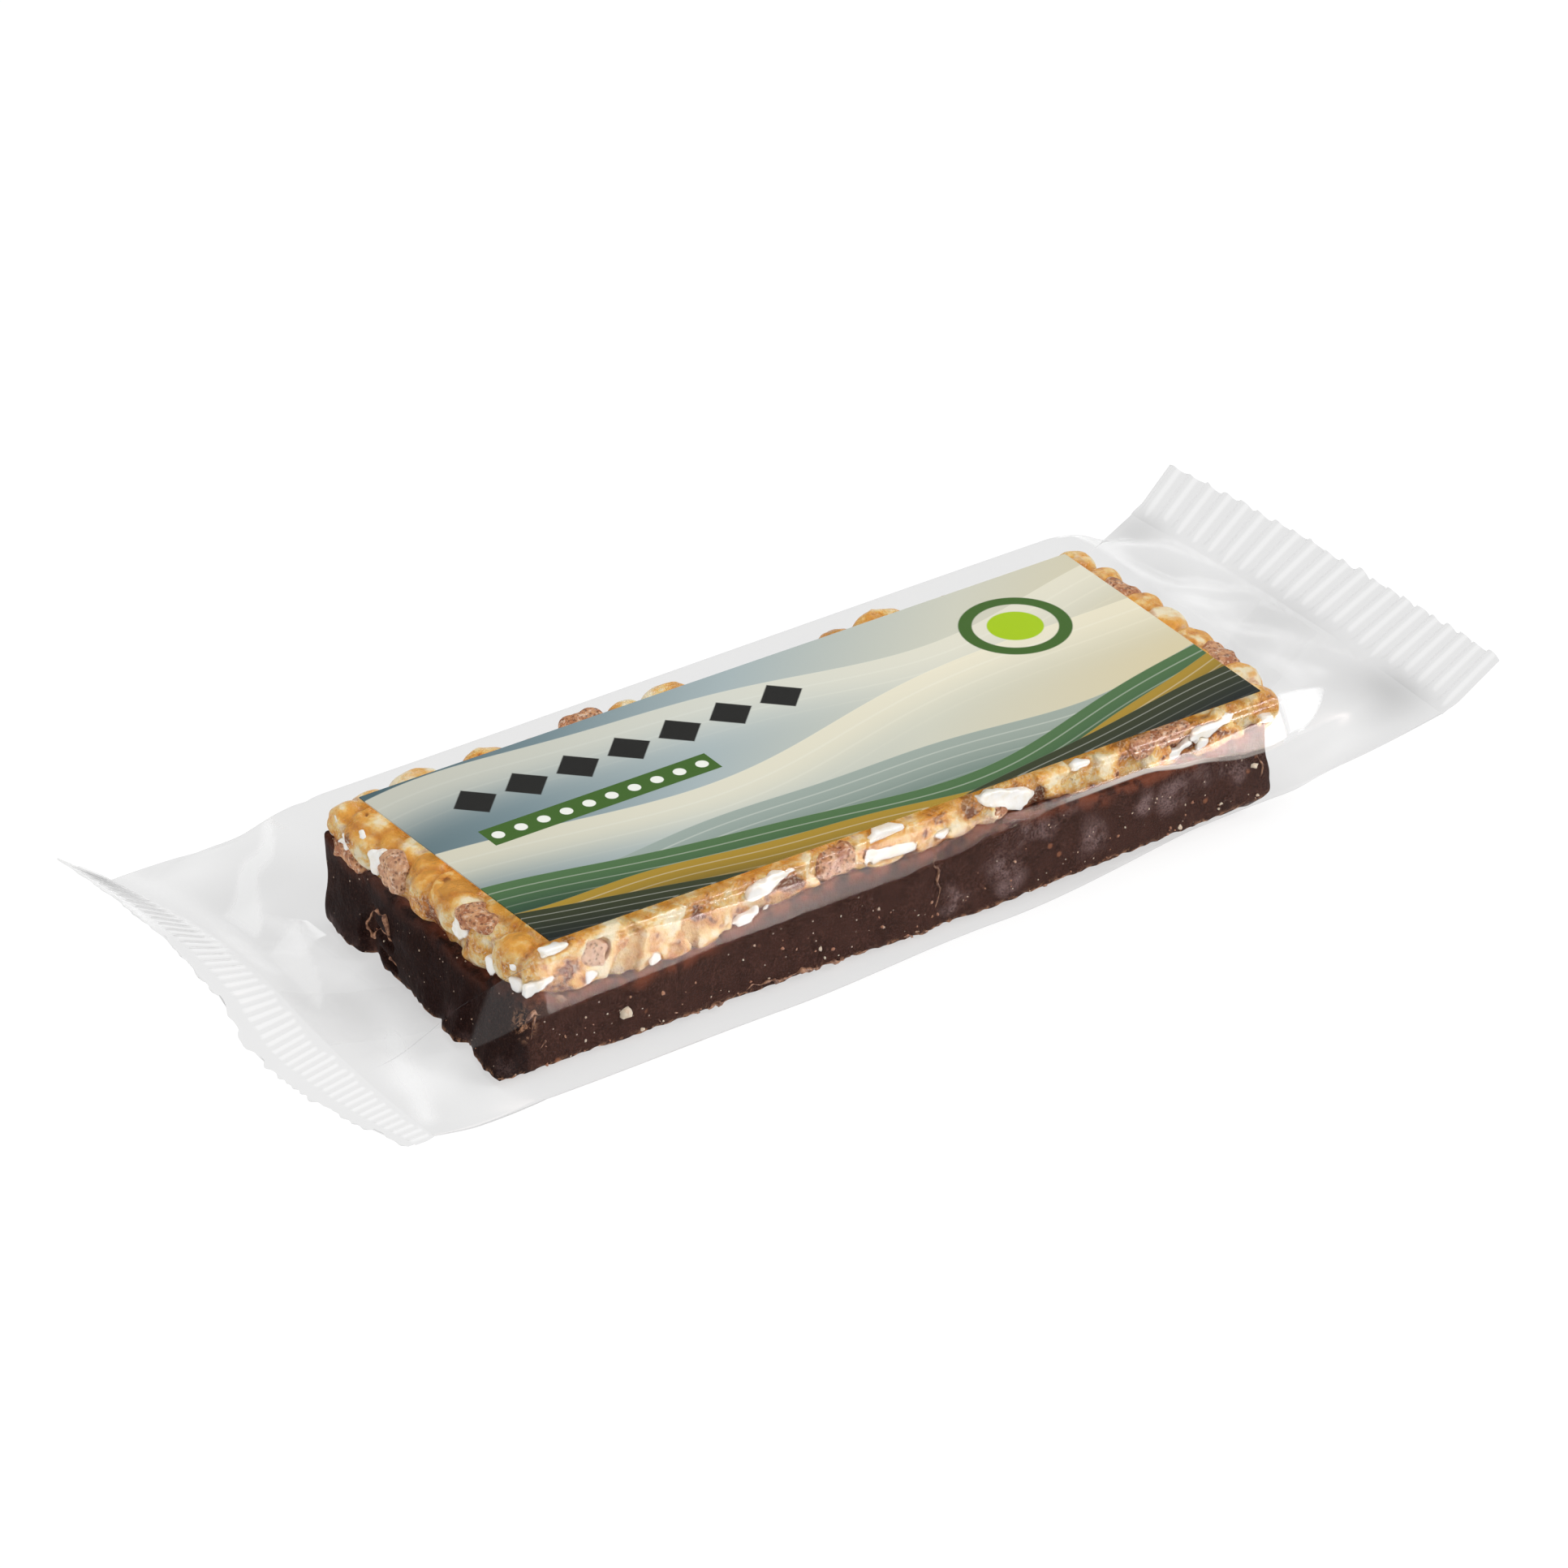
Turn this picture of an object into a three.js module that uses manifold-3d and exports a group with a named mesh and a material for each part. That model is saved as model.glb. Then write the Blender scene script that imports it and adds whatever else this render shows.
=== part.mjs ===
// A snack bar sealed in a clear flow wrap, with a printed label on top.
// Millimetres, +Z up. The bar lies along X, and the origin is on the underside, below the label's middle.

import * as THREE from 'three';
import { mergeVertices } from 'three/addons/utils/BufferGeometryUtils.js';
import Module from 'manifold-3d';

const wasm = await Module();
wasm.setup();

// The bar inside, which gives the wrap its block form
const bar = { left: -51.5, right: 50, front: -19.4, height: 15.2 };

// The wrap where it goes round the bar
const wrap = {
  slack: 0.5, // from the bar to the film
  cornerRadius: 1.6, // of the long top edges
  endRounding: 0.3, // how far the top drops at the bar's two ends
  endRoundingLength: 2.4,
  creaseBulge: 0.5, // how far the long crease stands out of a straight front wall
};

// The side folds, front and back: y and z of each fold at a few places along x
const frontFold = [
  [-52, -24.4, 0.4],
  [-20, -23.6, 0.4],
  [10, -21.6, 0.4],
  [50.5, -20.3, 3.5],
];
const backFold = [
  [-52, 22.7, 10],
  [50.5, 24.1, 9],
];

// y of the wrap's long top edge at the back, and height of the long crease in the front wall, along x
const backEdge = [
  [-52, 21.9],
  [50.5, 23.6],
];
const creaseHeight = [
  [-52, 9.6],
  [8, 11.2],
  [50.5, 12.8],
];

// Height of the underside along x: the back seam holds it off the table, and the bar's right end curls up
const underside = [
  [15, 0.3],
  [50.5, 1.8],
];

// The end seals: the line where the seal starts and the cut edge, each from front to back
const leftSeal = {
  start: [
    [-66.6, -25.2, 1.4], [-66.8, -14, 2.4], [-66.8, -2, 4],
    [-66.8, 9, 5.6], [-67.8, 20, 6.2], [-71.6, 30.4, 7.6],
  ],
  edge: [
    [-70.2, -24.6, 0.9], [-72.4, -16, 0.9], [-73.6, -8, 1], [-74, 0, 1.8],
    [-74.4, 7, 6.2], [-75.4, 15, 9.2], [-77, 24, 11.2], [-79, 31, 12.9],
  ],
  flutes: 46,
  samplesPerFlute: 2,
  fluteDepth: 0.2,
  bareEdge: 0.22, // share of the seal's width left flat at the cut edge
};
const rightSeal = {
  start: [[64.4, -28.4, 11.2], [64.7, -8, 11.4], [64.4, 12, 10.9], [63.2, 28.6, 10.6]],
  edge: [[73.4, -28, 16.3], [73.8, -12, 15.3], [73.4, 2, 15], [71.6, 15, 15.6], [69.6, 29.4, 15.8]],
  flutes: 21,
  samplesPerFlute: 4,
  fluteDepth: 0.45,
  bareEdge: 0,
};
const sealThickness = 0.5;
const fluteFadeIn = 0.3; // share of the seal's width over which the flutes grow to full depth
const fluteFadeOut = 0.05; // and over which they end before a flat edge
const throatThickness = 0.3; // of the wrap's end, where it goes into the seal
const throatInset = 0.12; // share of the seal's width that the wrap's end reaches into it
const sealOverlap = 0.1; // share of the seal's width that the seal reaches back into the wrap

// How far the film bows up between the bar and each seal, at the front fold and at the back fold
const bow = { leftFront: -0.7, leftBack: 1.3, rightFront: -0.4, rightBack: 0 };

// The lengthwise seam, folded flat on the underside
const seam = { halfWidth: 5, thickness: 0.3, root: 0.12, columns: 4 };

const label = { length: 95, width: 37.3, thickness: 0.25, gap: 0.25 };

// Faces along the wrap, along the seals and, for each stretch of a section, across the wrap
const steps = { alongEnd: 6, alongBar: 10, sealRows: 4, upper: [6, 4, 3, 16, 3, 6], lower: [5, 26, 1, 6] };

const mergeDistance = 1e-5;
const roof = bar.height + wrap.slack;
const ends = { left: bar.left - wrap.slack, right: bar.right + wrap.slack };

// Value of a list of [x, a, b] keys at x, with a smooth step between neighbours
function follow(keys, x) {
  const last = keys.length - 1;
  if (x <= keys[0][0]) return keys[0].slice(1);
  if (x >= keys[last][0]) return keys[last].slice(1);
  const i = keys.findIndex((key) => key[0] > x) - 1;
  const t = THREE.MathUtils.smoothstep(x, keys[i][0], keys[i + 1][0]);
  return keys[i].slice(1).map((value, k) => THREE.MathUtils.lerp(value, keys[i + 1][k + 1], t));
}

// The upper film round the bar at x: stretches of a path in y and z, from the front fold over the top
// to the back fold
function upperStretches(x) {
  const [frontY, frontZ] = follow(frontFold, x);
  const [backY, backZ] = follow(backFold, x);
  const [crease] = follow(creaseHeight, x);
  const [back] = follow(backEdge, x);
  const front = bar.front - wrap.slack;
  const nearEnd = Math.max(0, 1 - Math.min(x - ends.left, ends.right - x) / wrap.endRoundingLength);
  const top = roof - wrap.endRounding * nearEnd ** 2;
  const radius = wrap.cornerRadius;
  const creaseY = THREE.MathUtils.lerp(front, frontY, (top - crease) / (top - frontZ)) - wrap.creaseBulge;
  return [
    line([frontY, frontZ], [creaseY, crease]),
    line([creaseY, crease], [front, top - radius]),
    bend([front, top - radius], [front, top], [front + radius, top]),
    line([front + radius, top], [back - radius, top]),
    bend([back - radius, top], [back, top], [back, top - radius]),
    line([back, top - radius], [backY, backZ]),
  ];
}

// The lower film round the bar at x, from the front fold under the bar to the back fold
function lowerStretches(x) {
  const [frontY, frontZ] = follow(frontFold, x);
  const [backY, backZ] = follow(backFold, x);
  const [back] = follow(backEdge, x);
  const [bottom] = follow(underside, x);
  const front = bar.front + wrap.slack;
  return [
    line([frontY, frontZ], [front, bottom]),
    line([front, bottom], [back - wrap.slack, bottom]),
    line([back - wrap.slack, bottom], [back, bottom + wrap.slack]),
    line([back, bottom + wrap.slack], [backY, backZ]),
  ];
}

function line(from, to) {
  return new THREE.LineCurve(new THREE.Vector2(...from), new THREE.Vector2(...to));
}

function bend(from, corner, to) {
  return new THREE.QuadraticBezierCurve(...[from, corner, to].map((p) => new THREE.Vector2(...p)));
}

// The points of one section at x, with the given number of faces on each stretch
function barRow(film, x) {
  const row = film.stretches(x).flatMap((curve, i) => curve.getPoints(film.steps[i]).slice(i === 0 ? 0 : 1));
  return row.map((p) => new THREE.Vector3(x, p.x, p.y));
}

// How far along its own length each point of a row is, from 0 to 1
function sharesAlong(row) {
  const distances = [0];
  for (let i = 1; i < row.length; i++) distances.push(distances[i - 1] + row[i].distanceTo(row[i - 1]));
  return distances.map((distance) => distance / distances[distances.length - 1]);
}

function curveThrough(points) {
  return new THREE.CatmullRomCurve3(points.map((p) => new THREE.Vector3(...p)));
}

// A point of a seal's middle surface: across goes from its front (0) to its back (1), and out from its
// start (0) to its cut edge (1)
function sealPoint(seal, across, out) {
  return curveThrough(seal.start).getPointAt(across).lerp(curveThrough(seal.edge).getPointAt(across), out);
}

// The wrap's end in a seal: one film's points across it, with its outermost points in the middle surface
function throatRow(seal, shares, side) {
  return shares.map((share, i) => {
    const point = sealPoint(seal, share, throatInset);
    const isFold = i === 0 || i === shares.length - 1;
    point.z += isFold ? 0 : (side * throatThickness) / 2;
    return point;
  });
}

// Rows between the bar's end and a seal, where the film is nearly straight
function endRows(barEnd, throat, bowFront, bowBack) {
  const shares = sharesAlong(barEnd);
  const rows = [];
  for (let r = 1; r <= steps.alongEnd; r++) {
    const t = r / steps.alongEnd;
    rows.push(barEnd.map((point, i) => {
      const blended = point.clone().lerp(throat[i], t);
      blended.z += THREE.MathUtils.lerp(bowFront, bowBack, shares[i]) * Math.sin(Math.PI * t);
      return blended;
    }));
  }
  return rows;
}

// Rows of one film, upper or lower, from the left seal over the bar to the right seal
function filmRows(film) {
  const rounding = wrap.endRoundingLength;
  const stations = [ends.left, ends.left + rounding / 2];
  for (let i = 0; i <= steps.alongBar; i++) {
    stations.push(THREE.MathUtils.lerp(ends.left + rounding, ends.right - rounding, i / steps.alongBar));
  }
  stations.push(ends.right - rounding / 2, ends.right);
  const barRows = stations.map((x) => barRow(film, x));
  const leftEnd = barRows[0];
  const rightEnd = barRows[barRows.length - 1];
  const leftThroat = throatRow(leftSeal, sharesAlong(leftEnd), film.side);
  const rightThroat = throatRow(rightSeal, sharesAlong(rightEnd), film.side);
  return [
    ...endRows(leftEnd, leftThroat, bow.leftFront, bow.leftBack).reverse(),
    ...barRows,
    ...endRows(rightEnd, rightThroat, bow.rightFront, bow.rightBack),
  ];
}

// A closed solid between an upper and a lower sheet. The rows of a sheet follow each other along +x,
// and the points of a row along +y.
function solidBetween(upper, lower) {
  const rowCount = upper.length;
  const columnCount = upper[0].length;
  const positions = [...upper.flat(), ...lower.flat()].flatMap((p) => [p.x, p.y, p.z]);
  const top = (r, c) => r * columnCount + c;
  const bottom = (r, c) => rowCount * columnCount + top(r, c);
  const index = [];
  const quad = (a, b, c, d) => index.push(a, b, c, a, c, d);
  for (let r = 0; r + 1 < rowCount; r++) {
    for (let c = 0; c + 1 < columnCount; c++) {
      quad(top(r, c), top(r + 1, c), top(r + 1, c + 1), top(r, c + 1));
      quad(bottom(r, c), bottom(r, c + 1), bottom(r + 1, c + 1), bottom(r + 1, c));
    }
    const last = columnCount - 1;
    quad(bottom(r, 0), bottom(r + 1, 0), top(r + 1, 0), top(r, 0));
    quad(top(r, last), top(r + 1, last), bottom(r + 1, last), bottom(r, last));
  }
  for (let c = 0; c + 1 < columnCount; c++) {
    const last = rowCount - 1;
    quad(top(0, c), top(0, c + 1), bottom(0, c + 1), bottom(0, c));
    quad(top(last, c + 1), top(last, c), bottom(last, c), bottom(last, c + 1));
  }
  const geometry = new THREE.BufferGeometry();
  geometry.setAttribute('position', new THREE.Float32BufferAttribute(positions, 3));
  geometry.setIndex(index);
  return toSolid(geometry);
}

// A manifold solid from a geometry, with shared vertices merged and triangles of no area left out
function toSolid(geometry) {
  const merged = mergeVertices(geometry, mergeDistance);
  const kept = [];
  for (let i = 0; i < merged.index.count; i += 3) {
    const [a, b, c] = [0, 1, 2].map((k) => merged.index.getX(i + k));
    if (a !== b && b !== c && c !== a) kept.push(a, b, c);
  }
  return new wasm.Manifold(new wasm.Mesh({
    numProp: 3,
    vertProperties: new Float32Array(merged.attributes.position.array),
    triVerts: new Uint32Array(kept),
  }));
}

function toGeometry(solid) {
  const mesh = solid.getMesh();
  const geometry = new THREE.BufferGeometry();
  geometry.setAttribute('position', new THREE.BufferAttribute(mesh.vertProperties, 3));
  geometry.setIndex(new THREE.BufferAttribute(mesh.triVerts, 1));
  geometry.computeVertexNormals();
  return geometry;
}

// How deep the flutes are, from none at the seal's start to full, and none again on its bare edge
function fluteShare(seal, out) {
  const fadeIn = THREE.MathUtils.smoothstep(out, 0, fluteFadeIn);
  if (seal.bareEdge === 0) return fadeIn;
  const flatFrom = 1 - seal.bareEdge;
  return fadeIn * (1 - THREE.MathUtils.smoothstep(out, flatFrom - fluteFadeOut, flatFrom));
}

// An end seal: a thin plate with flutes that run along it
function sealSolid(seal, outwardX) {
  const columns = seal.flutes * seal.samplesPerFlute;
  const startCurve = curveThrough(seal.start);
  const edgeCurve = curveThrough(seal.edge);
  const upper = [];
  const lower = [];
  for (let r = 0; r <= steps.sealRows; r++) {
    const out = THREE.MathUtils.lerp(-sealOverlap, 1, r / steps.sealRows);
    const upperRow = [];
    const lowerRow = [];
    for (let c = 0; c <= columns; c++) {
      const across = c / columns;
      const start = startCurve.getPointAt(across);
      const width = edgeCurve.getPointAt(across).sub(start);
      const point = start.clone().addScaledVector(width, out);
      const upward = width.clone().cross(startCurve.getTangentAt(across)).multiplyScalar(outwardX).normalize();
      const wave = Math.cos((2 * Math.PI * c) / seal.samplesPerFlute);
      const offset = seal.fluteDepth * fluteShare(seal, out) * wave;
      upperRow.push(point.clone().addScaledVector(upward, offset + sealThickness / 2));
      lowerRow.push(point.clone().addScaledVector(upward, offset - sealThickness / 2));
    }
    upper.push(upperRow);
    lower.push(lowerRow);
  }
  if (outwardX < 0) {
    upper.reverse();
    lower.reverse();
  }
  return solidBetween(upper, lower);
}

// The point of a row where it crosses y, between its two nearest points
function crossing(row, y) {
  const i = row.findIndex((p, k) => k + 1 < row.length && p.y <= y && row[k + 1].y > y);
  return row[i].clone().lerp(row[i + 1], (y - row[i].y) / (row[i + 1].y - row[i].y));
}

// The back seam: a flat strip under the lower film, from seal to seal
function seamSolid(lowerRows) {
  const shifted = (row, height) => {
    const points = [];
    for (let i = 0; i <= seam.columns; i++) {
      const point = crossing(row, seam.halfWidth * ((2 * i) / seam.columns - 1));
      points.push(point.setZ(point.z + height));
    }
    return points;
  };
  return solidBetween(
    lowerRows.map((row) => shifted(row, seam.root)),
    lowerRows.map((row) => shifted(row, -seam.thickness)),
  );
}

function wrapMesh() {
  const upperRows = filmRows({ side: 1, stretches: upperStretches, steps: steps.upper });
  const lowerRows = filmRows({ side: -1, stretches: lowerStretches, steps: steps.lower });
  const solid = solidBetween(upperRows, lowerRows)
    .add(seamSolid(lowerRows))
    .add(sealSolid(leftSeal, -1))
    .add(sealSolid(rightSeal, 1));
  const clearFilm = new THREE.MeshStandardMaterial({ color: 0xe2e2e2, roughness: 0.18, metalness: 0 });
  const mesh = new THREE.Mesh(toGeometry(solid), clearFilm);
  mesh.name = 'clear_wrap';
  return mesh;
}

function labelMesh() {
  const paper = new THREE.MeshStandardMaterial({ color: 0x9aa69b, roughness: 0.45, metalness: 0 });
  const mesh = new THREE.Mesh(new THREE.BoxGeometry(label.length, label.width, label.thickness), paper);
  mesh.position.z = roof + label.gap + label.thickness / 2;
  mesh.name = 'print_label';
  return mesh;
}

const snackBar = new THREE.Group();
snackBar.add(wrapMesh(), labelMesh());

export default snackBar;
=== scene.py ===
# Energy bar in a clear flow wrap: the layered bar, the film round it and the printed label.
import functools
import math
import bmesh
import bpy
import numpy as np
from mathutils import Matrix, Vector
from mathutils.bvhtree import BVHTree


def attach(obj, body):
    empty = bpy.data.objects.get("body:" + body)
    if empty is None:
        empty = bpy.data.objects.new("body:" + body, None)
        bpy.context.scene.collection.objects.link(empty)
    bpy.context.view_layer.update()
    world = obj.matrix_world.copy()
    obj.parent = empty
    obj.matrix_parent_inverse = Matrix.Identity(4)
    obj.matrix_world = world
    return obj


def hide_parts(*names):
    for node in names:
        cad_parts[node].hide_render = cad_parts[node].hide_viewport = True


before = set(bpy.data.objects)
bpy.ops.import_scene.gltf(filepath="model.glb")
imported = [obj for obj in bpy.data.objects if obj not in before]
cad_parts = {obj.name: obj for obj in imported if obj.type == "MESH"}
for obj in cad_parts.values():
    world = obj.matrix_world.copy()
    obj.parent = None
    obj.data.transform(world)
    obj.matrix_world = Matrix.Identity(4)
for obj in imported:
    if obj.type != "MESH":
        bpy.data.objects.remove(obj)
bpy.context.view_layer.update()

scene = bpy.context.scene
scene.view_settings.view_transform = "Standard"
scene.cycles.transparent_max_bounces = 48  # from some sides a fluted seal is many layers of film
mm = 0.001  # shapes are worked out in millimetres and stored in metres


# Curves and noise

def smoothStep(value, low, high):
    t = np.clip((value - low) / (high - low), 0, 1)
    return t * t * (3 - 2 * t)


def within(value, low, high, soft):
    # 1 between low and high, 0 from a little way outside them
    return smoothStep(value, low - soft, low) * smoothStep(value, high + soft, high)


def follow(keys, x):
    # keys are (x, a) or (x, a, b): the value or values at x, eased between neighbouring keys
    keys = np.array(keys, float)
    columns = []
    for column in range(1, keys.shape[1]):
        total = np.full(np.shape(x), keys[0, column])
        for a, b in zip(keys[:-1], keys[1:]):
            total = total + (b[column] - a[column]) * smoothStep(x, a[0], b[0])
        columns.append(total)
    return columns if len(columns) > 1 else columns[0]


def splineWeights(positions, count):
    # cubic weights that spread one random value over its neighbours
    start = np.floor(positions).astype(int)
    f = positions - start
    parts = [(1 - f) ** 3, 3 * f**3 - 6 * f**2 + 4, -3 * f**3 + 3 * f**2 + 3 * f + 1, f**3]
    weights = np.zeros((len(positions), count), np.float32)
    for offset, part in enumerate(parts):
        weights[np.arange(len(positions)), start + offset] = part / 6
    return weights


def gridNoise(axes, size, seed):
    # smooth noise of about -1 to 1 with lumps of the given size, on the grid of the axes
    sizes = [size] * len(axes) if np.isscalar(size) else size
    weights = []
    for axis, lump in zip(axes, sizes):
        positions = (axis - axis[0]) / lump
        weights.append(splineWeights(positions, int(positions[-1]) + 4))
    noise = np.random.default_rng(seed).uniform(-1, 1, [w.shape[1] for w in weights]).astype(np.float32)
    for matrix in weights:
        noise = np.tensordot(noise, matrix, axes=(0, 1))
    return noise * 1.8


def noiseSum(axes, *layers):
    # layers are (height, size of the lumps, seed)
    return sum(height * gridNoise(axes, size, seed) for height, size, seed in layers)


def largest(parts):
    return functools.reduce(np.maximum, parts)


def softMax(parts, softness):
    # the largest of several distances, with rounded edges where they meet
    highest = largest(parts)
    return highest + softness * np.log(sum(np.exp((part - highest) / softness) for part in parts))


def turnMatrix(angles):
    # rotation about x, then y, then z
    (cx, cy, cz), (sx, sy, sz) = np.cos(angles), np.sin(angles)
    aboutX = np.array([[1, 0, 0], [0, cx, -sx], [0, sx, cx]])
    aboutY = np.array([[cy, 0, sy], [0, 1, 0], [-sy, 0, cy]])
    aboutZ = np.array([[cz, -sz, 0], [sz, cz, 0], [0, 0, 1]])
    return aboutZ @ aboutY @ aboutX


# Meshes from a distance field: below zero is inside

def makeAxes(low, high, step):
    return [np.arange(a, b + step, step, dtype=np.float32) for a, b in zip(low, high)]


def spread(axes):
    # the three coordinates, shaped so that they combine into the whole grid
    return axes[0][:, None, None], axes[1][None, :, None], axes[2][None, None, :]


def window(axes, middle, reach):
    # the part of a grid within reach of a point: its slices and its coordinates
    parts = []
    for axis, centre in zip(axes, middle):
        low, high = np.searchsorted(axis, [centre - reach, centre + reach])
        parts.append(slice(max(low, 0), min(high + 1, len(axis))))
    return tuple(parts), spread([axis[part] for axis, part in zip(axes, parts)])


def fieldSurface(field, axes):
    # one vertex in each grid cell that the surface crosses, one face for each grid edge that it crosses
    inside = field < 0
    nx, ny, nz = field.shape
    offsets = [(i, j, k) for i in (0, 1) for j in (0, 1) for k in (0, 1)]
    filled = sum(inside[i:nx - 1 + i, j:ny - 1 + j, k:nz - 1 + k].astype(np.int8) for i, j, k in offsets)
    crossed = (filled > 0) & (filled < 8)
    cells = np.argwhere(crossed)
    number = np.full(crossed.shape, -1, np.int32)
    number[crossed] = np.arange(len(cells))
    total = np.zeros((len(cells), 3))
    hits = np.zeros(len(cells))
    for a in offsets:
        for axis in (axis for axis in range(3) if not a[axis]):
            b = tuple(a[k] + (k == axis) for k in range(3))
            valueA, valueB = field[tuple((cells + a).T)], field[tuple((cells + b).T)]
            cross = (valueA < 0) != (valueB < 0)
            point = np.tile(np.array(a, float), (len(cells), 1))
            point[cross, axis] += valueA[cross] / (valueA[cross] - valueB[cross])
            total[cross] += point[cross]
            hits[cross] += 1
    step = axes[0][1] - axes[0][0]
    verts = np.array([axis[0] for axis in axes]) + (cells + total / hits[:, None]) * step
    faces = []
    for axis in range(3):
        side, other = (axis + 1) % 3, (axis + 2) % 3
        low, high = [slice(None)] * 3, [slice(None)] * 3
        low[axis], high[axis] = slice(0, -1), slice(1, None)
        edges = np.argwhere(inside[tuple(low)] != inside[tuple(high)])
        edges = edges[(edges[:, side] > 0) & (edges[:, other] > 0)]
        edges = edges[(edges[:, side] < field.shape[side] - 1) & (edges[:, other] < field.shape[other] - 1)]
        ring = []
        for moveSide, moveOther in ((-1, -1), (0, -1), (0, 0), (-1, 0)):
            cell = edges.copy()
            cell[:, side] += moveSide
            cell[:, other] += moveOther
            ring.append(number[tuple(cell.T)])
        quads = np.stack(ring, 1)
        outward = inside[tuple(edges.T)]
        faces.append(np.where(outward[:, None], quads, quads[:, ::-1]))
    return verts, np.concatenate(faces), cells


def meshFromArrays(name, verts, faces, material, values=None, smooth=True):
    # verts in mm; values is a dictionary of numbers for each vertex that the material reads
    mesh = bpy.data.meshes.new(name)
    mesh.vertices.add(len(verts))
    mesh.vertices.foreach_set("co", (np.asarray(verts, np.float32) * mm).ravel())
    mesh.loops.add(faces.size)
    mesh.loops.foreach_set("vertex_index", faces.astype(np.int32).ravel())
    mesh.polygons.add(len(faces))
    mesh.polygons.foreach_set("loop_start", np.arange(0, faces.size, faces.shape[1], dtype=np.int32))
    mesh.update(calc_edges=True)
    mesh.validate()
    for key, numbers in (values or {}).items():
        mesh.attributes.new(key, "FLOAT", "POINT").data.foreach_set("value", numbers.astype(np.float32))
    mesh.polygons.foreach_set("use_smooth", np.full(len(faces), smooth))
    mesh.materials.append(material)
    piece = bpy.data.objects.new(name, mesh)
    scene.collection.objects.link(piece)
    return piece


def joinedMesh(name, parts, material):
    # parts are (verts, faces, tone), and the tone is one number for the whole part
    firsts = np.cumsum([0] + [len(verts) for verts, _, _ in parts[:-1]])
    verts = np.concatenate([verts for verts, _, _ in parts])
    faces = np.concatenate([faces + first for (_, faces, _), first in zip(parts, firsts)])
    tones = np.concatenate([np.full(len(verts), tone) for verts, _, tone in parts])
    return meshFromArrays(name, verts, faces, material, {"tone": tones})


def dropHidden(verts, faces, level, xRange, yRange):
    # takes out a flat patch that nothing can see; closeHoles then closes it with large faces
    centres = verts[faces].mean(1)
    patch = np.abs(verts[faces][:, :, 2] - level).max(1) < 0.02
    for axis, (low, high) in enumerate((xRange, yRange)):
        patch &= (centres[:, axis] > low) & (centres[:, axis] < high)
    return faces[~patch]


def closeHoles(piece):
    work = bmesh.new()
    work.from_mesh(piece.data)
    rims = [edge for edge in work.edges if edge.is_boundary]
    if rims:
        bmesh.ops.holes_fill(work, edges=rims, sides=0)
    bmesh.ops.delete(work, geom=[vert for vert in work.verts if not vert.link_faces], context="VERTS")
    work.to_mesh(piece.data)
    work.free()


def gridFaces(numbers):
    return np.stack([numbers[:-1, :-1], numbers[1:, :-1], numbers[1:, 1:], numbers[:-1, 1:]], -1).reshape(-1, 4)


def stripFaces(a, b):
    return np.stack([a[:-1], a[1:], b[1:], b[:-1]], -1)


def closedSheets(upper, lower, openStart=False):
    # two sheets of points, with strips that join them round their edges
    rows, columns = upper.shape[:2]
    numbers = np.arange(rows * columns).reshape(rows, columns)
    under = numbers + rows * columns
    edges = [(under[-1], numbers[-1]), (under[:, 0], numbers[:, 0]), (numbers[:, -1], under[:, -1])]
    if not openStart:
        edges.append((numbers[0], under[0]))
    faces = [gridFaces(numbers), gridFaces(under)[:, ::-1]] + [stripFaces(a, b) for a, b in edges]
    return np.concatenate([upper.reshape(-1, 3), lower.reshape(-1, 3)]), np.concatenate(faces)


# Materials

def screenColor(red, green, blue):
    # a colour as a screen shows it, 0 to 255, turned into a shader colour
    linear = [((c / 255 + 0.055) / 1.055) ** 2.4 if c > 10 else c / 255 / 12.92 for c in (red, green, blue)]
    return (*linear, 1.0)


class Signal:
    # an output of a node, to reckon with as with a number
    def __init__(self, look, socket):
        self.look, self.socket = look, socket

    def __add__(self, other):
        return self.look.math("ADD", self, other)

    def __sub__(self, other):
        return self.look.math("SUBTRACT", self, other)

    def __rsub__(self, other):
        return self.look.math("SUBTRACT", other, self)

    def __mul__(self, other):
        return self.look.math("MULTIPLY", self, other)

    def __gt__(self, other):
        return self.look.math("GREATER_THAN", self, other)

    def __lt__(self, other):
        return self.look.math("LESS_THAN", self, other)

    def __abs__(self):
        return self.look.math("ABSOLUTE", self)

    def remap(self, low, high, toLow=0.0, toHigh=1.0):
        inputs = {"Value": self, "From Min": low, "From Max": high, "To Min": toLow, "To Max": toHigh}
        return self.look.signal("ShaderNodeMapRange", inputs, interpolation_type="SMOOTHSTEP")

    def below(self, edge, soft=0.0001):
        # 1 where this is below the edge
        return self.remap(edge - soft, edge + soft, 1, 0)


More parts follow.
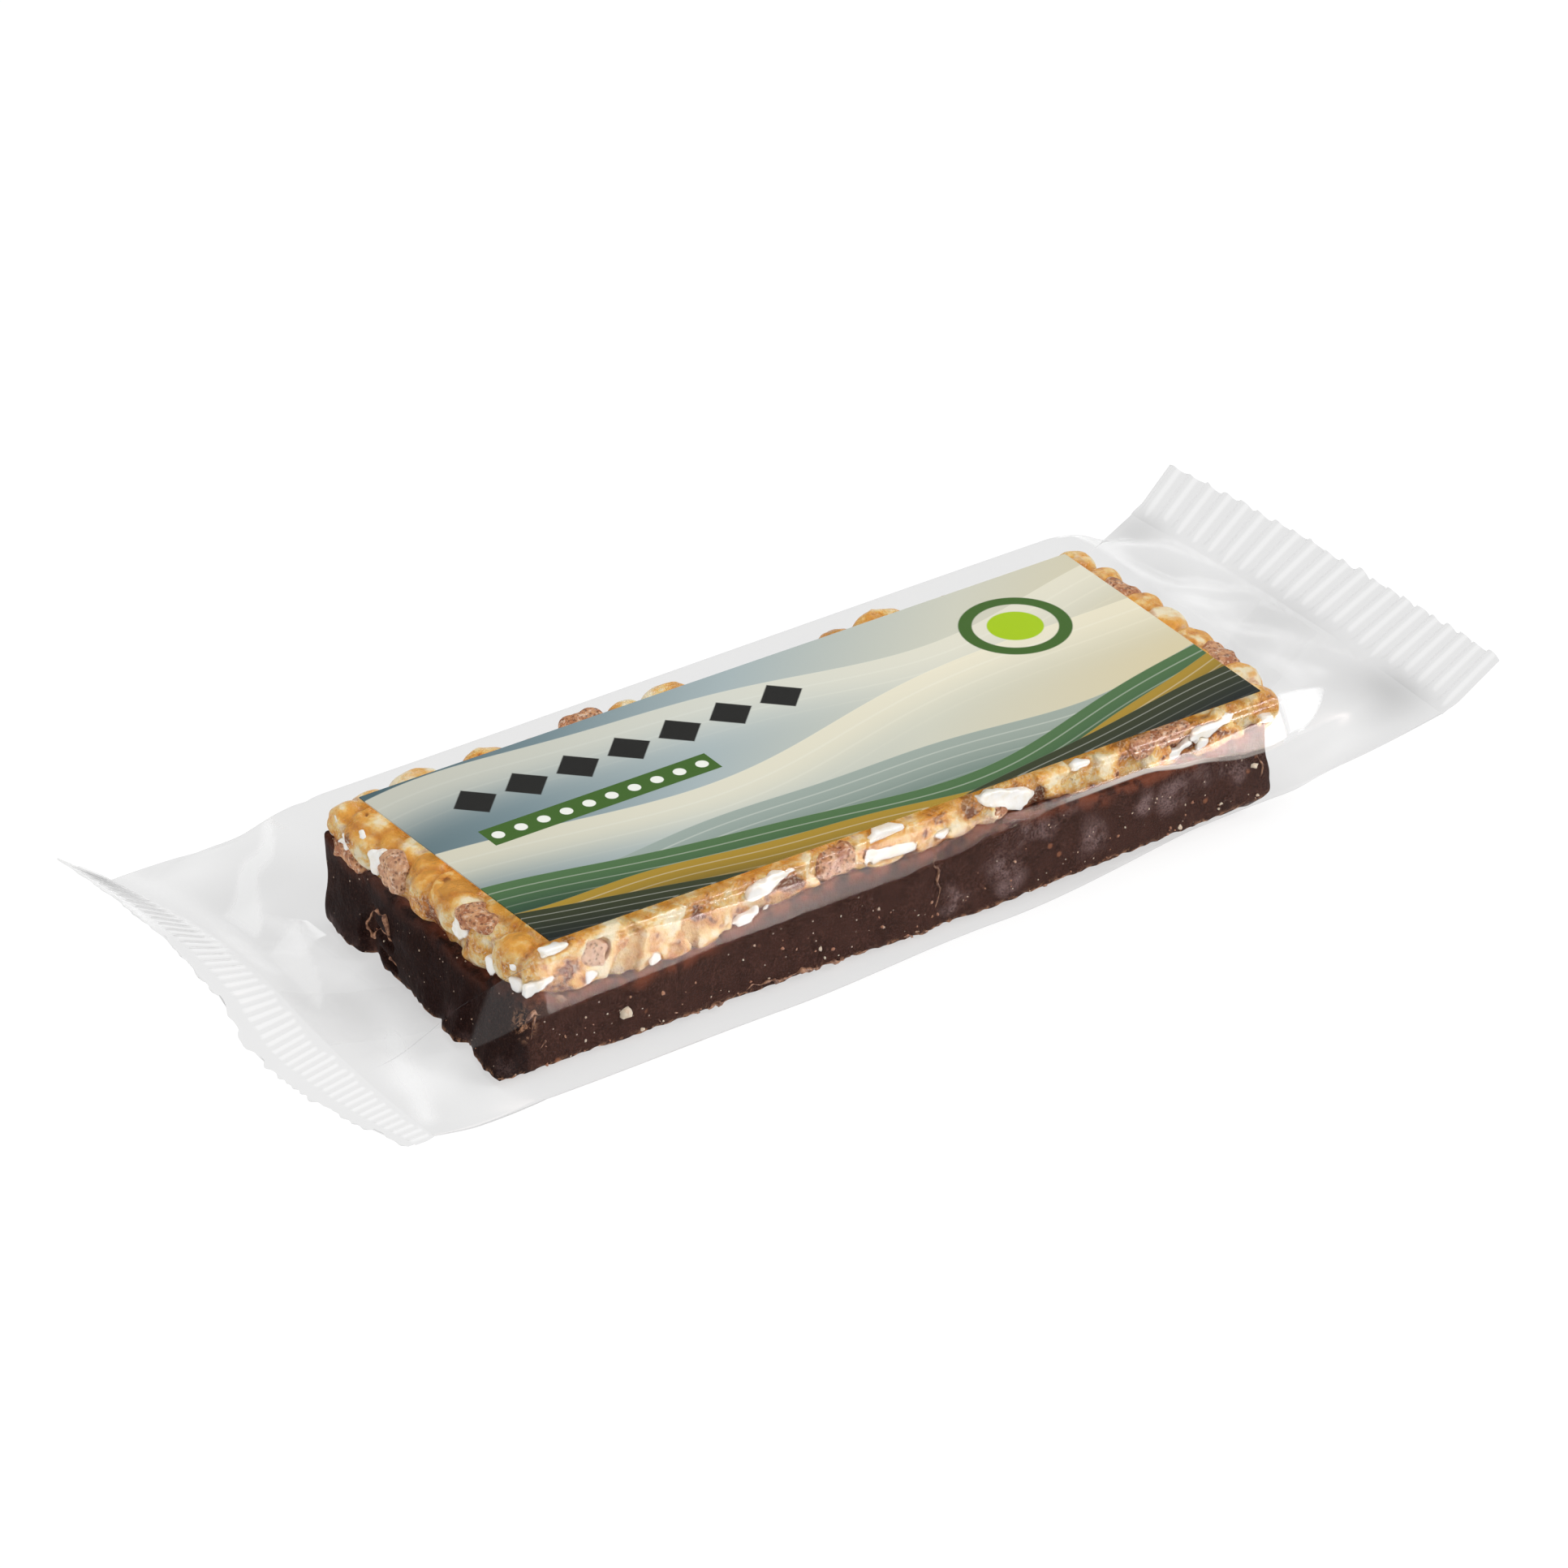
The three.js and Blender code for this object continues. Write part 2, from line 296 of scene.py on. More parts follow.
class Look:
    # a material and the nodes that it is made of
    def __init__(self, name):
        self.material = bpy.data.materials.new(name)
        self.material.use_nodes = True
        self.material.node_tree.nodes.clear()
        self.point = self.signal("ShaderNodeTexCoord", output="Object")

    def node(self, kind, inputs=None, **settings):
        # inputs go by name or number; a signal is linked, three numbers for a colour are as on a screen
        node = self.material.node_tree.nodes.new(kind)
        for key, value in settings.items():
            setattr(node, key, value)
        for key, value in (inputs or {}).items():
            socket = node.inputs[key]
            if isinstance(value, Signal):
                self.material.node_tree.links.new(value.socket, socket)
            elif socket.type == "RGBA" and len(value) == 3:
                socket.default_value = screenColor(*value)
            else:
                socket.default_value = value
        return node

    def signal(self, kind, inputs=None, output=0, **settings):
        return Signal(self, self.node(kind, inputs, **settings).outputs[output])

    def math(self, operation, *values):
        return self.signal("ShaderNodeMath", dict(enumerate(values)), operation=operation)

    def vector(self, operation, inputs):
        return self.signal("ShaderNodeVectorMath", inputs, operation=operation)

    def mix(self, factor, colorA, colorB):
        return self.signal("ShaderNodeMix", {0: factor, 6: colorA, 7: colorB}, output=2, data_type="RGBA")

    def mixShaders(self, factor, shaderA, shaderB):
        return self.signal("ShaderNodeMixShader", {0: factor, 1: shaderA, 2: shaderB})

    def noise(self, scale, detail=3.0, roughness=0.5, distortion=0.0):
        inputs = {"Vector": self.point, "Scale": scale, "Detail": detail, "Roughness": roughness,
                  "Distortion": distortion}
        return self.signal("ShaderNodeTexNoise", inputs, output="Fac")

    def cells(self, scale, point=None):
        return self.signal("ShaderNodeTexVoronoi", {"Vector": point or self.point, "Scale": scale}, output="Distance")

    def attribute(self, name):
        return self.signal("ShaderNodeAttribute", output="Fac", attribute_name=name)

    def bump(self, height, distance, strength=1.0):
        return self.signal("ShaderNodeBump", {"Height": height, "Distance": distance, "Strength": strength})

    def ramp(self, value, stops):
        node = self.node("ShaderNodeValToRGB", {0: value})
        elements = node.color_ramp.elements
        while len(elements) < len(stops):
            elements.new(0.5)
        for element, (position, color) in zip(elements, stops):
            element.position = position
            element.color = screenColor(*color)
        return Signal(self, node.outputs[0])

    def gloss(self, roughness, **inputs):
        return self.signal("ShaderNodeBsdfGlossy", {"Color": (1, 1, 1, 1), "Roughness": roughness, **inputs})

    def finish(self, shader):
        self.node("ShaderNodeOutputMaterial", {"Surface": shader})
        return self.material

    def solid(self, color, roughness, inputs):
        return self.finish(self.signal("ShaderNodeBsdfPrincipled",
                                       {"Base Color": color, "Roughness": roughness, **inputs}))


# The bar's own form, in mm

bar = {
    "front": -19.4,
    "top": 15.6,
    "left": -51.5,
    "right": 50.0,
    "rimRight": [(-19.4, 49.3), (-13, 51.7), (14, 51.5), (21, 50.2)],  # end of the cereal at the right, (y, x)
    # height of the line between chocolate and cereal along the front, (x, z)
    "frontLine": [
        (-50.7, 9.3), (-48, 8.9), (-46.4, 8.4), (-45, 9.0), (-41.5, 9.2), (-39, 8.8), (-36, 8.2), (-34.5, 8.6),
        (-27.5, 8.8), (-25.5, 9.2), (-23.5, 9.9), (-21, 10.5), (-18, 10.8), (-13, 11.2), (-8.7, 11.7), (-5, 11.1),
        (3.5, 11.3), (7.7, 11.7), (9.3, 12.1), (12.7, 11.7), (15.6, 11.5), (20, 11.5), (24, 10.7), (33, 10.9),
        (39, 11.0), (44, 11.1), (46.5, 11.7), (50, 11.4)],
    # the same along the left end, (y, z), and along the back, (x, z)
    "leftLine": [(-18, 9.9), (-15, 10.2), (-9.4, 9.1), (-4, 9.8), (2.4, 10.5), (10, 10.5), (15.5, 10.6), (20, 12.5)],
    "backLine": [(-50, 11.5), (-30, 9.6), (-12, 10.4), (8, 9.4), (28, 10.6), (50, 10.4)],
    # height of the bottom, (x, z)
    "bottomLine": [(-8, 0.55), (8, 0.6), (23, 1.15), (34, 1.5), (42, 1.75), (46, 2.0), (50, 2.9)],
    # how far the foot of the left end runs out, (y, x)
    "foot": [(-19.4, -54.9), (-15.9, -54.9), (-13.5, -54.2), (-10.5, -53.2), (-9.1, -54.3), (-6.8, -53.9),
             (-4.7, -52.8), (2.3, -52.1), (7.7, -51.5), (11.2, -50.3), (12.2, -51.8), (16.2, -51.8), (21.3, -51.4)],
    "hidden": ((-46.5, 45.5), (-16.5, 17)),  # the part that nothing can see, in x and in y
}


def layerLine(x, y):
    # height where the chocolate ends and the cereal begins
    front, left = follow(bar["frontLine"], x), follow(bar["leftLine"], y)
    long = front + (follow(bar["backLine"], x) - front) * smoothStep(y, -12, 12)
    return left + (long - left) * smoothStep(x, -50.5, -44)


def hiddenPart(x, y):
    (left, right), (front, back) = bar["hidden"]
    return within(x, left - 0.2, right + 0.2, 1) * within(y, front - 0.2, back + 0.2, 1)


def rimFall(x):
    # the cereal's top is rounded off towards both ends
    return smoothStep(x, 48.5, 51) + smoothStep(x, bar["left"] + 2.5, bar["left"])


# Pieces set into the cereal: middle (x, y, z), half sizes, and turns in degrees

cocoaPuffs = {
    "grain": 0.2,  # size of the faces
    "inset": 0.1,  # how far the cut face lies behind the bar's front
    "lumps": 0.6,  # height of the lumps on a puff
    "ragged": 0.15,  # height of the finer ones
    "trim": 0.0,  # taken off all round
    "pieces": [
        ((-41.7, -18.2, 13.0), (2.4, 2.0, 2.1), (10, 12, 15)), ((-10.0, -18.2, 13.4), (2.4, 2.0, 2.0), (0, -30, 0)),
        ((12.2, -18.5, 12.3), (1.3, 1.3, 0.7), (0, 0, 0)), ((31.2, -18.2, 14.3), (1.6, 1.9, 1.5), (0, 0, 10)),
        ((35.4, -18.2, 14.7), (2.4, 1.9, 1.2), (20, -12, 0)), ((-49.7, 7.7, 12.6), (2.2, 3.2, 2.4), (15, 0, 0)),
        ((-49.6, -7.6, 14.4), (2.2, 3.0, 1.4), (0, 10, 0)), ((-49.9, 15.2, 10.9), (1.7, 3.4, 1.5), (15, 0, 20)),
        ((-17.0, 20.0, 13.7), (2.8, 2.3, 2.0), (0, 0, 0)), ((49.7, 10.6, 13.5), (2.1, 2.7, 2.1), (0, 0, 10)),
        ((49.6, -7.8, 13.5), (2.2, 3.1, 2.2), (0, 0, -10)), ((12.0, 20.0, 12.4), (2.4, 1.9, 1.9), (0, 0, 0)),
        ((34.0, 20.2, 12.2), (2.5, 2.0, 2.1), (0, 0, 0)), ((-45.0, 20.0, 12.6), (2.0, 1.6, 1.8), (0, 0, 0)),
        ((47.9, 3.4, 10.7), (2.2, 2.2, 1.6), (0, 0, 0)),
    ],
    "seed": 300,
}
whiteChips = {
    "grain": 0.2,
    "inset": 0.27,
    "lumps": 0.2,
    "ragged": 0.26,
    "trim": 0.14,
    "pieces": [
        ((-49.1, -18.9, 11.2), (2.4, 1.1, 0.85), (0, -12, 0)), ((-46.9, -18.8, 14.9), (2.3, 1.1, 0.8), (0, -4, 6)),
        ((-42.3, -19.0, 10.1), (0.95, 0.9, 0.7), (0, 0, 0)), ((-33.8, -19.0, 9.4), (0.8, 0.8, 0.8), (0, 10, 0)),
        ((-21.6, -18.9, 10.4), (2.5, 1.1, 0.75), (0, -18, 0)), ((-18.7, -18.8, 13.8), (3.7, 1.2, 1.0), (0, -14, 0)),
        ((-2.8, -18.8, 12.4), (4.0, 1.2, 1.0), (0, 4, 0)), ((-2.9, -18.8, 15.1), (2.3, 1.1, 0.7), (0, -3, 0)),
        ((4.2, -19.0, 12.3), (1.3, 1.0, 0.6), (0, -22, 0)), ((12.7, -18.8, 13.9), (3.5, 1.3, 1.25), (0, 200, 0)),
        ((23.0, -18.8, 15.0), (1.2, 1.0, 0.6), (0, 0, 0)), ((36.4, -18.9, 12.4), (1.9, 1.1, 0.7), (0, -18, 0)),
        ((41.0, -18.8, 13.75), (3.7, 1.2, 0.95), (0, -16, 0)), ((39.4, -18.9, 12.1), (1.1, 1.0, 0.65), (0, -8, 0)),
        ((48.3, -18.3, 12.4), (1.3, 1.2, 0.7), (0, 0, 0)), ((-49.9, 18.9, 13.2), (0.9, 1.2, 1.2), (25, 0, 0)),
        ((-50.15, 15.2, 13.4), (1.0, 2.9, 0.9), (-38, 0, 0)), ((-50.4, 16.4, 12.0), (1.0, 1.5, 1.0), (-20, 0, 0)),
        ((-50.0, 10.3, 13.1), (1.3, 1.9, 1.3), (-30, 0, 15)), ((-50.3, -6.0, 12.8), (1.1, 2.0, 1.3), (-42, 0, 0)),
        ((-50.6, -12.6, 11.2), (1.0, 1.2, 1.0), (10, 0, 0)), ((-50.3, -15.6, 12.4), (1.1, 1.2, 0.8), (10, 0, 0)),
        ((-50.6, -17.2, 10.9), (1.0, 1.2, 0.9), (0, 0, 0)), ((-8.0, 20.4, 11.8), (2.8, 1.1, 1.0), (0, 12, 0)),
        ((22.0, 20.5, 12.6), (2.4, 1.1, 1.1), (0, -15, 0)), ((-35.0, 20.3, 12.2), (2.6, 1.1, 1.0), (0, -10, 0)),
        ((50.9, 8.8, 11.2), (1.0, 2.6, 1.0), (12, 0, 0)), ((51.0, -7.2, 10.9), (1.0, 2.2, 1.0), (-20, 0, 0)),
        ((50.4, 17.0, 11.4), (1.0, 2.4, 1.1), (5, 0, 0)),
    ],
    "seed": 700,
}


def ownPlace(piece, x, y, z):
    # coordinates turned to a piece and divided by its half sizes
    middle, sizes, turns = piece
    turn = turnMatrix(np.radians(turns))
    moved = [x - middle[0], y - middle[1], z - middle[2]]
    return [sum(turn[j, k] * moved[j] for j in range(3)) / sizes[k] for k in range(3)]


def puffDistance(puff, x, y, z):
    own = ownPlace(puff, x, y, z)
    return (np.sqrt(own[0] ** 2 + own[1] ** 2 + own[2] ** 2) - 1) * min(puff[1])


def chipDistance(chip, x, y, z):
    # a flat shard with blunt edges, thicker at one end
    own = ownPlace(chip, x, y, z)
    own[2] = own[2] / (1 - 0.35 * np.clip(own[0], -1, 1))
    return (sum(np.abs(part) ** 3.2 for part in own) ** (1 / 3.2) - 1) * min(chip[1])


def makeSetPieces(name, kind, distance, material):
    # each piece from its own small field, all joined in one mesh
    parts = []
    grain = kind["grain"]
    for number, piece in enumerate(kind["pieces"]):
        seed = kind["seed"] + number
        middle = np.array(piece[0])
        reach = max(piece[1]) + 0.9
        axes = makeAxes(middle - reach, middle + reach, grain)
        x, y, z = spread(axes)
        lumps = noiseSum(axes, (1, 1.8, seed), (0.8, 0.8, seed + 100))
        field = distance(piece, x, y, z) + kind["lumps"] * lumps
        field = field + kind["ragged"] * gridNoise(axes, 0.5, seed + 300) + kind["trim"]
        inset = kind["inset"] + 0.25 * gridNoise(axes, 1.1, seed + 200)
        field = largest([field, bar["front"] + inset - y, bar["left"] + 0.1 + inset - x,
                         x - follow(bar["rimRight"], y) + inset, z - bar["top"] + 0.12 + 0.35 * rimFall(x)])
        verts, faces, _ = fieldSurface(field, axes)
        parts.append((verts, faces, (number * 0.618) % 1))  # neighbours in the list differ in tone
    return joinedMesh(name, parts, material)


# Dark chocolate layer

chocolate = {
    "grain": 0.26,
    "roundness": 0.3,
    "waves": 0.34,  # height of the soft dents
    "edgeChips": 0.4,  # depth of the broken places along the bottom edge
    # bloom on the front: x, z, half length, half height
    "bloomSpots": [(15.6, 8.9, 3.6, 1.7), (12.3, 6.0, 2.6, 1.7), (5.6, 3.6, 2.2, 2.0), (12.6, 3.4, 1.9, 2.0),
                   (24.4, 5.4, 2.4, 2.6), (22.0, 10.0, 2.4, 1.4), (35.5, 6.6, 2.6, 2.4), (39.5, 8.0, 3.2, 1.6),
                   (30.8, 8.0, 1.9, 1.5), (43.5, 7.6, 1.8, 1.8)],
    # hollows between the layers on the front: x, z, radius
    "frontPits": [(-50.6, 9.8, 0.9), (-46.6, 10.8, 0.35), (-43.8, 10.2, 0.4), (-34.9, 9.0, 0.8), (-31.4, 9.6, 0.9),
                  (-25.6, 9.4, 0.4), (-7.0, 12.0, 0.7), (-5.9, 11.9, 0.7), (-0.6, 11.4, 0.45), (2.2, 11.8, 0.7),
                  (3.2, 11.6, 0.7), (7.4, 12.1, 0.4), (12.0, 11.8, 0.5), (16.3, 14.2, 0.7), (21.6, 12.0, 0.4),
                  (25.4, 11.3, 0.6), (26.6, 11.5, 0.5), (31.9, 12.8, 0.4)],
    "leftPits": [17.4, 13, -0.8, -8.2, -11.6, 6.2],  # y of those at the left end
    # scraped grooves on the left end: from and to as (y, z), then half width
    "scrapes": [((10.4, 7.0), (11.4, 4.0), 0.8), ((9.4, 5.4), (6.3, 4.6), 0.6), ((8.4, 2.9), (5.4, 2.1), 0.5)],
    # thin broken edges that stand up, on the front as (x, z) and on the left end as (y, z)
    "frontFlakes": [
        [(-22.2, 1.3), (-21.2, 2.1), (-20, 1.8), (-16.7, 1.2), (-14.9, 1.5), (-12.7, 1.0), (-11.2, 1.3), (-9.4, 0.9),
         (-5.8, 1.0)],
        [(-30, 1.0), (-27.5, 0.9), (-24, 0.9)], [(-49.3, 7.5), (-50.1, 8.4), (-51.2, 7.6), (-51.4, 6.6)],
        [(-50.0, 7.6), (-50.4, 6.8), (-50.5, 5.2)], [(-48.6, 4.4), (-49.4, 3.4)],
        [(-47.6, 9.3), (-45.9, 8.4), (-45.2, 7.4)],
        [(3.1, 10.3), (2.6, 9.3), (3.3, 8.2), (2.9, 6.8), (3.4, 5.6), (2.8, 3.6)],
        [(-33.9, 2.2), (-33.4, 1.2)], [(-1.4, 1.2), (1.2, 0.9), (4.0, 1.1)], [(17.5, 1.4), (20.5, 1.6)],
        [(46.6, 8.6), (47.4, 7.2), (47.1, 5.4)],
    ],
    "endFlakes": [
        [(10.3, 7.2), (11.8, 5.1), (11.5, 3.4), (10.3, 3.6), (9.1, 5.1), (7.9, 4.9), (6.5, 4.5)],
        [(6.5, 4.5), (6.3, 6.2), (7.1, 7.4), (9.1, 7.7), (10.3, 7.2)], [(8.5, 3.3), (7.0, 2.9), (5.2, 2.6)],
    ],
    "flakeStep": 0.14,
    "color": (66, 40, 33),
    "darkColor": (24, 12, 10),
    "shadedEndColor": (28, 11, 9),  # painted shade: the darker colour of the left end
    "bloomAndSheenColor": (132, 108, 106),
    "thinColor": (134, 74, 52),
    "flakeColor": (188, 138, 106),
    "flatTop": 7.0,  # inside the bar the hidden top and bottom are plain
    "hollow": 2.0,
}


def chocolateMaterial():
    look = Look("darkChocolate")
    mottle, grain, shadedEnd = look.noise(420, 5, 0.65), look.noise(4600, 3, 0.7), look.attribute("shadedEnd")
    # the ends are painted darker, as shade
    base = look.mix(shadedEnd, chocolate["color"], chocolate["shadedEndColor"])
    base = look.mix(mottle.remap(0.42, 0.66, 0, 0.5), base, (40, 23, 18))
    # real bloom on the front and back, and a painted sheen low on the left end
    bloomAndSheen = look.attribute("bloomAndSheen") * look.noise(330, 5, 0.65).remap(0.36, 0.6, 0.1, 1)
    base = look.mix(bloomAndSheen * grain.remap(0.36, 0.6, 0.5, 1.0), base, chocolate["bloomAndSheenColor"])
    base = look.mix(grain.remap(0.5, 0.68, 0, 0.36) * (shadedEnd * -0.6 + 1.0), base, (128, 88, 74))
    base = look.mix(grain.remap(0.5, 0.34, 0, 0.5), base, chocolate["darkColor"])
    thin = look.attribute("thin") * look.noise(500).remap(0.36, 0.57)
    base = look.mix(thin * 0.8, base, chocolate["thinColor"])
    flake = look.attribute("edge") * look.noise(1100, 5, 0.7, 0.8).remap(0.49, 0.57)
    base = look.mix(flake * 0.8, base, chocolate["flakeColor"])
    specks = look.cells(800).remap(0.04, 0.11, 1, 0) * look.noise(600, 1).remap(0.47, 0.54)
    base = look.mix(specks, base, (205, 180, 160))
    spots = look.cells(310).remap(0.06, 0.14, 1, 0) * look.noise(230, 1).remap(0.5, 0.56, 0, 0.75)
    base = look.mix(spots, base, (146, 92, 66))
    normal = look.bump(grain * 0.16 + mottle, 0.0005, 0.7)
    return look.solid(base, mottle.remap(0.3, 0.7, 0.42, 0.6),
                      {"Normal": normal, "IOR": 1.45, "Specular IOR Level": 0.03})


def sideDistances(x, y, z):
    # distances beyond the bar's front and ends, with the foot that runs out at the left
    flare = np.maximum(bar["left"] - follow(bar["foot"], y), -1.4) * np.clip((9.6 - z) / 9.0, 0, 1) ** 1.25
    rightEnd = bar["right"] - 0.8 - 0.8 * smoothStep(y, -12, -19)
    return [bar["front"] - y, bar["left"] - flare - x, x - rightEnd]


def chocolateField(axes, ragged):
    x, y, z = spread(axes)
    bottom, line = follow(bar["bottomLine"], x), layerLine(x, y)
    waves = chocolate["waves"] * noiseSum(axes, (1, (7, 7, 5), 13), (0.6, 2.8, 14))
    atLeft = smoothStep(x, -46, -50)
    lobes = 0.45 * gridNoise(axes, (9, 2.9, 30), 15) * smoothStep(z, bottom + 3.0, bottom + 0.2) * atLeft
    folds = 0.45 * gridNoise(axes, (9, 7, 2.7), 19) * atLeft * smoothStep(z, 9, 6)
    chips = chocolate["edgeChips"] * np.abs(gridNoise(axes, (0.95, 0.95, 0.8), 16))
    broken = 0.8 * gridNoise(axes, (1.8, 1.8, 1.5), 9) * smoothStep(x, 46, 48)
    backLine = 20.6 + 0.5 * gridNoise(axes, (7, 40, 6), 17)
    front, left, right = sideDistances(x, y, z)
    sides = [front + waves, left + waves + lobes + folds, right + waves + broken, y - backLine + 0.6 * waves]
    hidden = hiddenPart(x, y)
    lowest = bottom - z + 0.12 * np.abs(waves)
    field = softMax(sides + [lowest + (chocolate["hollow"] - z - lowest) * hidden], chocolate["roundness"])
    top = z - line - ragged
    field = softMax([field, top + (z - chocolate["flatTop"] - top) * hidden], 0.12)
    field = field + chips * smoothStep(z, bottom + 1.2, bottom) * (1 - hidden)
    for middle, radius in boundaryPits():
        carve(field, axes, middle, radius)
    for start, end, width in chocolate["scrapes"]:
        carveGroove(field, axes, start, end, width)
    return field


def chocolateMarks(axes, verts, cell, ragged):
    # where the chocolate has bloom, broken edges and a thin film over the cereal, with a painted sheen low on the left
    # end and painted shade on the ends
    x, y, z = verts.T
    left, front = bar["left"], bar["front"]
    lowest = follow(bar["bottomLine"], x)
    warpA, warpB = 1.5 * gridNoise(axes, 2.2, 18)[cell], 1.1 * gridNoise(axes, 1.8, 20)[cell]
    bloomAndSheen = 0.6 * smoothStep(warpA, 0.6, 1.3) * (y > 17)
    for spotX, spotZ, length, height in chocolate["bloomSpots"]:
        away = np.sqrt(((x + warpA - spotX) / length) ** 2 + ((z + warpB - spotZ) / height) ** 2)
        bloomAndSheen = np.maximum(bloomAndSheen, smoothStep(away, 1.35, 0.3) * (y < front + 2.4))
    # painted sheen: a lighter band low on the left end, mixed into the bloom
    footSheen = smoothStep(x, left + 0.2, left - 0.6) * smoothStep(z, lowest + 0.2, lowest + 1.2)
    footSheen = footSheen * smoothStep(z, lowest + 4.2, lowest + 2.2) * smoothStep(warpB, 0.0, 0.9)
    corner = smoothStep(np.sqrt((x + 51.0) ** 2 + ((z - 7.0) / 1.7) ** 2), 1.6, 0.5) * (y < front + 1.4)
    frontEdge = smoothStep(z, lowest + 1.1, lowest + 0.3) * (0.35 + 0.65 * smoothStep(y, -16, -18))
    leftEdge = 0.8 * smoothStep(x, left + 0.3, left - 0.3) * smoothStep(z, lowest + 1.0, lowest + 0.2)
    thin = smoothStep(z - layerLine(x, y) - ragged, -2.1, -0.1) * (1 - 0.8 * smoothStep(x, -50.2, -51.4))
    # shadedEnd is painted shade: full on the left end, half on the right end
    return {"bloomAndSheen": np.maximum(bloomAndSheen, 0.4 * footSheen), "edge": largest([frontEdge, corner, leftEdge]), "thin": thin,
            "shadedEnd": np.maximum(smoothStep(x, -50.2, -51.6), 0.5 * smoothStep(x, 47, 49))}


def makeChocolate():
    axes = makeAxes((-57, -21.5, -0.2), (52, 23.5, 14.5), chocolate["grain"])
    ragged = noiseSum(axes, (0.5, 1.3, 11), (0.55, 3.5, 12), (0.25, 0.7, 10))
    verts, faces, cells = fieldSurface(chocolateField(axes, ragged), axes)
    for level in (chocolate["flatTop"], chocolate["hollow"]):
        faces = dropHidden(verts, faces, level, *bar["hidden"])
    cell = tuple(cells.T)
    marks = chocolateMarks(axes, verts, cell, ragged[cell])
    piece = meshFromArrays("chocolateLayer", verts, faces, chocolateMaterial(), marks)
    closeHoles(piece)
    return piece


def flakeMaterial():
    look = Look("chocolateFlake")
    mottle = look.noise(1600, 4, 0.65)
    base = look.mix(mottle.remap(0.38, 0.62), (104, 66, 50), chocolate["flakeColor"])
    return look.solid(base, 0.6, {"Normal": look.bump(mottle, 0.0001, 0.5)})


def surfaceFinder(piece):
    # the chocolate's surface in mm, seen from the front or from the left end
    mesh = piece.data
    points = [vert.co / mm for vert in mesh.vertices]
    tree = BVHTree.FromPolygons(points, [tuple(face.vertices) for face in mesh.polygons])

    def find(across, z, atEnd=False):
        start, way = ((-60, across, z), (1, 0, 0)) if atEnd else ((across, -30, z), (0, 1, 0))
        hit = tree.ray_cast(start, way)[0]
        return None if hit is None else np.array(hit)
    return find


def makeFlakes(find):
    # ragged little ridges along each broken edge
    rng = np.random.default_rng(91)
    step = chocolate["flakeStep"]
    verts, faces = [], []
    paths = [(path, key == "endFlakes") for key in ("frontFlakes", "endFlakes") for path in chocolate[key]]
    for path, atEnd in paths:
        length = sum(math.dist(a, b) for a, b in zip(path[:-1], path[1:]))
        count = max(6, int(length / step))
        along, share = (np.arange(count) * step,), np.linspace(0, 1, count)
        line = evenPoints(curveThrough(path, 120), share)
        line = line + 0.16 * gridNoise(along, 0.5, int(rng.integers(999)))[:, None] * (0.4, 1)
        wide = np.clip(0.27 + 0.22 * gridNoise(along, 0.45, int(rng.integers(999))), 0.05, 0.55)
        wide = wide * np.minimum(1, 3 * np.minimum(share, share[::-1]) + 0.15)
        out = np.array((-1, 0, 0)) if atEnd else np.array((0, -1, 0))
        ridge = []
        for (across, z), half in zip(line, wide):
            hit = find(across, z, atEnd)
            if hit is not None:
                foot = hit - out * 0.1
                ridge.append([foot + (0, 0, half), hit + out * (half * 0.8 + 0.08), foot - (0, 0, half)])
        if len(ridge) < 3:
            continue
        numbers = sum(len(part) for part in verts) + np.arange(len(ridge) * 3).reshape(len(ridge), 3)
        verts.append(np.array(ridge).reshape(-1, 3))
        faces += [gridFaces(numbers), stripFaces(numbers[:, 2], numbers[:, 0])]
    piece = meshFromArrays("chocolateFlakes", np.concatenate(verts), np.concatenate(faces), flakeMaterial())
    closeHoles(piece)
    return piece


def carve(field, axes, middle, radius):
    # takes a rounded hollow out of a field
    part, (x, y, z) = window(axes, middle, radius + 0.6)
    hole = radius - np.sqrt((x - middle[0]) ** 2 + (y - middle[1]) ** 2 + (z - middle[2]) ** 2)
    field[part] = np.maximum(field[part], hole)


def carveGroove(field, axes, start, end, width):
    # a groove along the left end, deepest in its middle
    middle = (bar["left"] - 0.5, (start[0] + end[0]) / 2, (start[1] + end[1]) / 2)
    part, (x, y, z) = window(axes, middle, 4)
    alongY, alongZ = end[0] - start[0], end[1] - start[1]
    share = np.clip(((y - start[0]) * alongY + (z - start[1]) * alongZ) / (alongY**2 + alongZ**2), 0, 1)
    away = np.sqrt((y - start[0] - share * alongY) ** 2 + (z - start[1] - share * alongZ) ** 2)
    depth = 0.75 * smoothStep(away, width + 0.2, width - 0.3)
    field[part] += depth * smoothStep(x, bar["left"] + 3, bar["left"] + 1)


@functools.cache
def boundaryPits():
    # small dark hollows along the line between the layers
    rng = np.random.default_rng(21)
    pits = []
    for x, z, radius in chocolate["frontPits"]:
        pits.append(((x, bar["front"] + rng.uniform(0, 0.2), z), radius))
    for y in chocolate["leftPits"]:
        line = float(layerLine(bar["left"], y))
        pits.append(((bar["left"] + rng.uniform(0, 0.3), y, line + rng.uniform(0, 0.5)), rng.uniform(0.5, 0.9)))
    for x in np.arange(-44, 46, 8.5):
        pits.append(((x + rng.uniform(-2, 2), 21.0, float(layerLine(x, 21)) + 0.3), rng.uniform(0.5, 1.0)))
    for y in np.arange(-15, 18, 6.5):
        pits.append(((49.7, y + rng.uniform(-2, 2), float(layerLine(50, y)) + 0.3), rng.uniform(0.5, 0.9)))
    return pits


# Crisped cereal layer

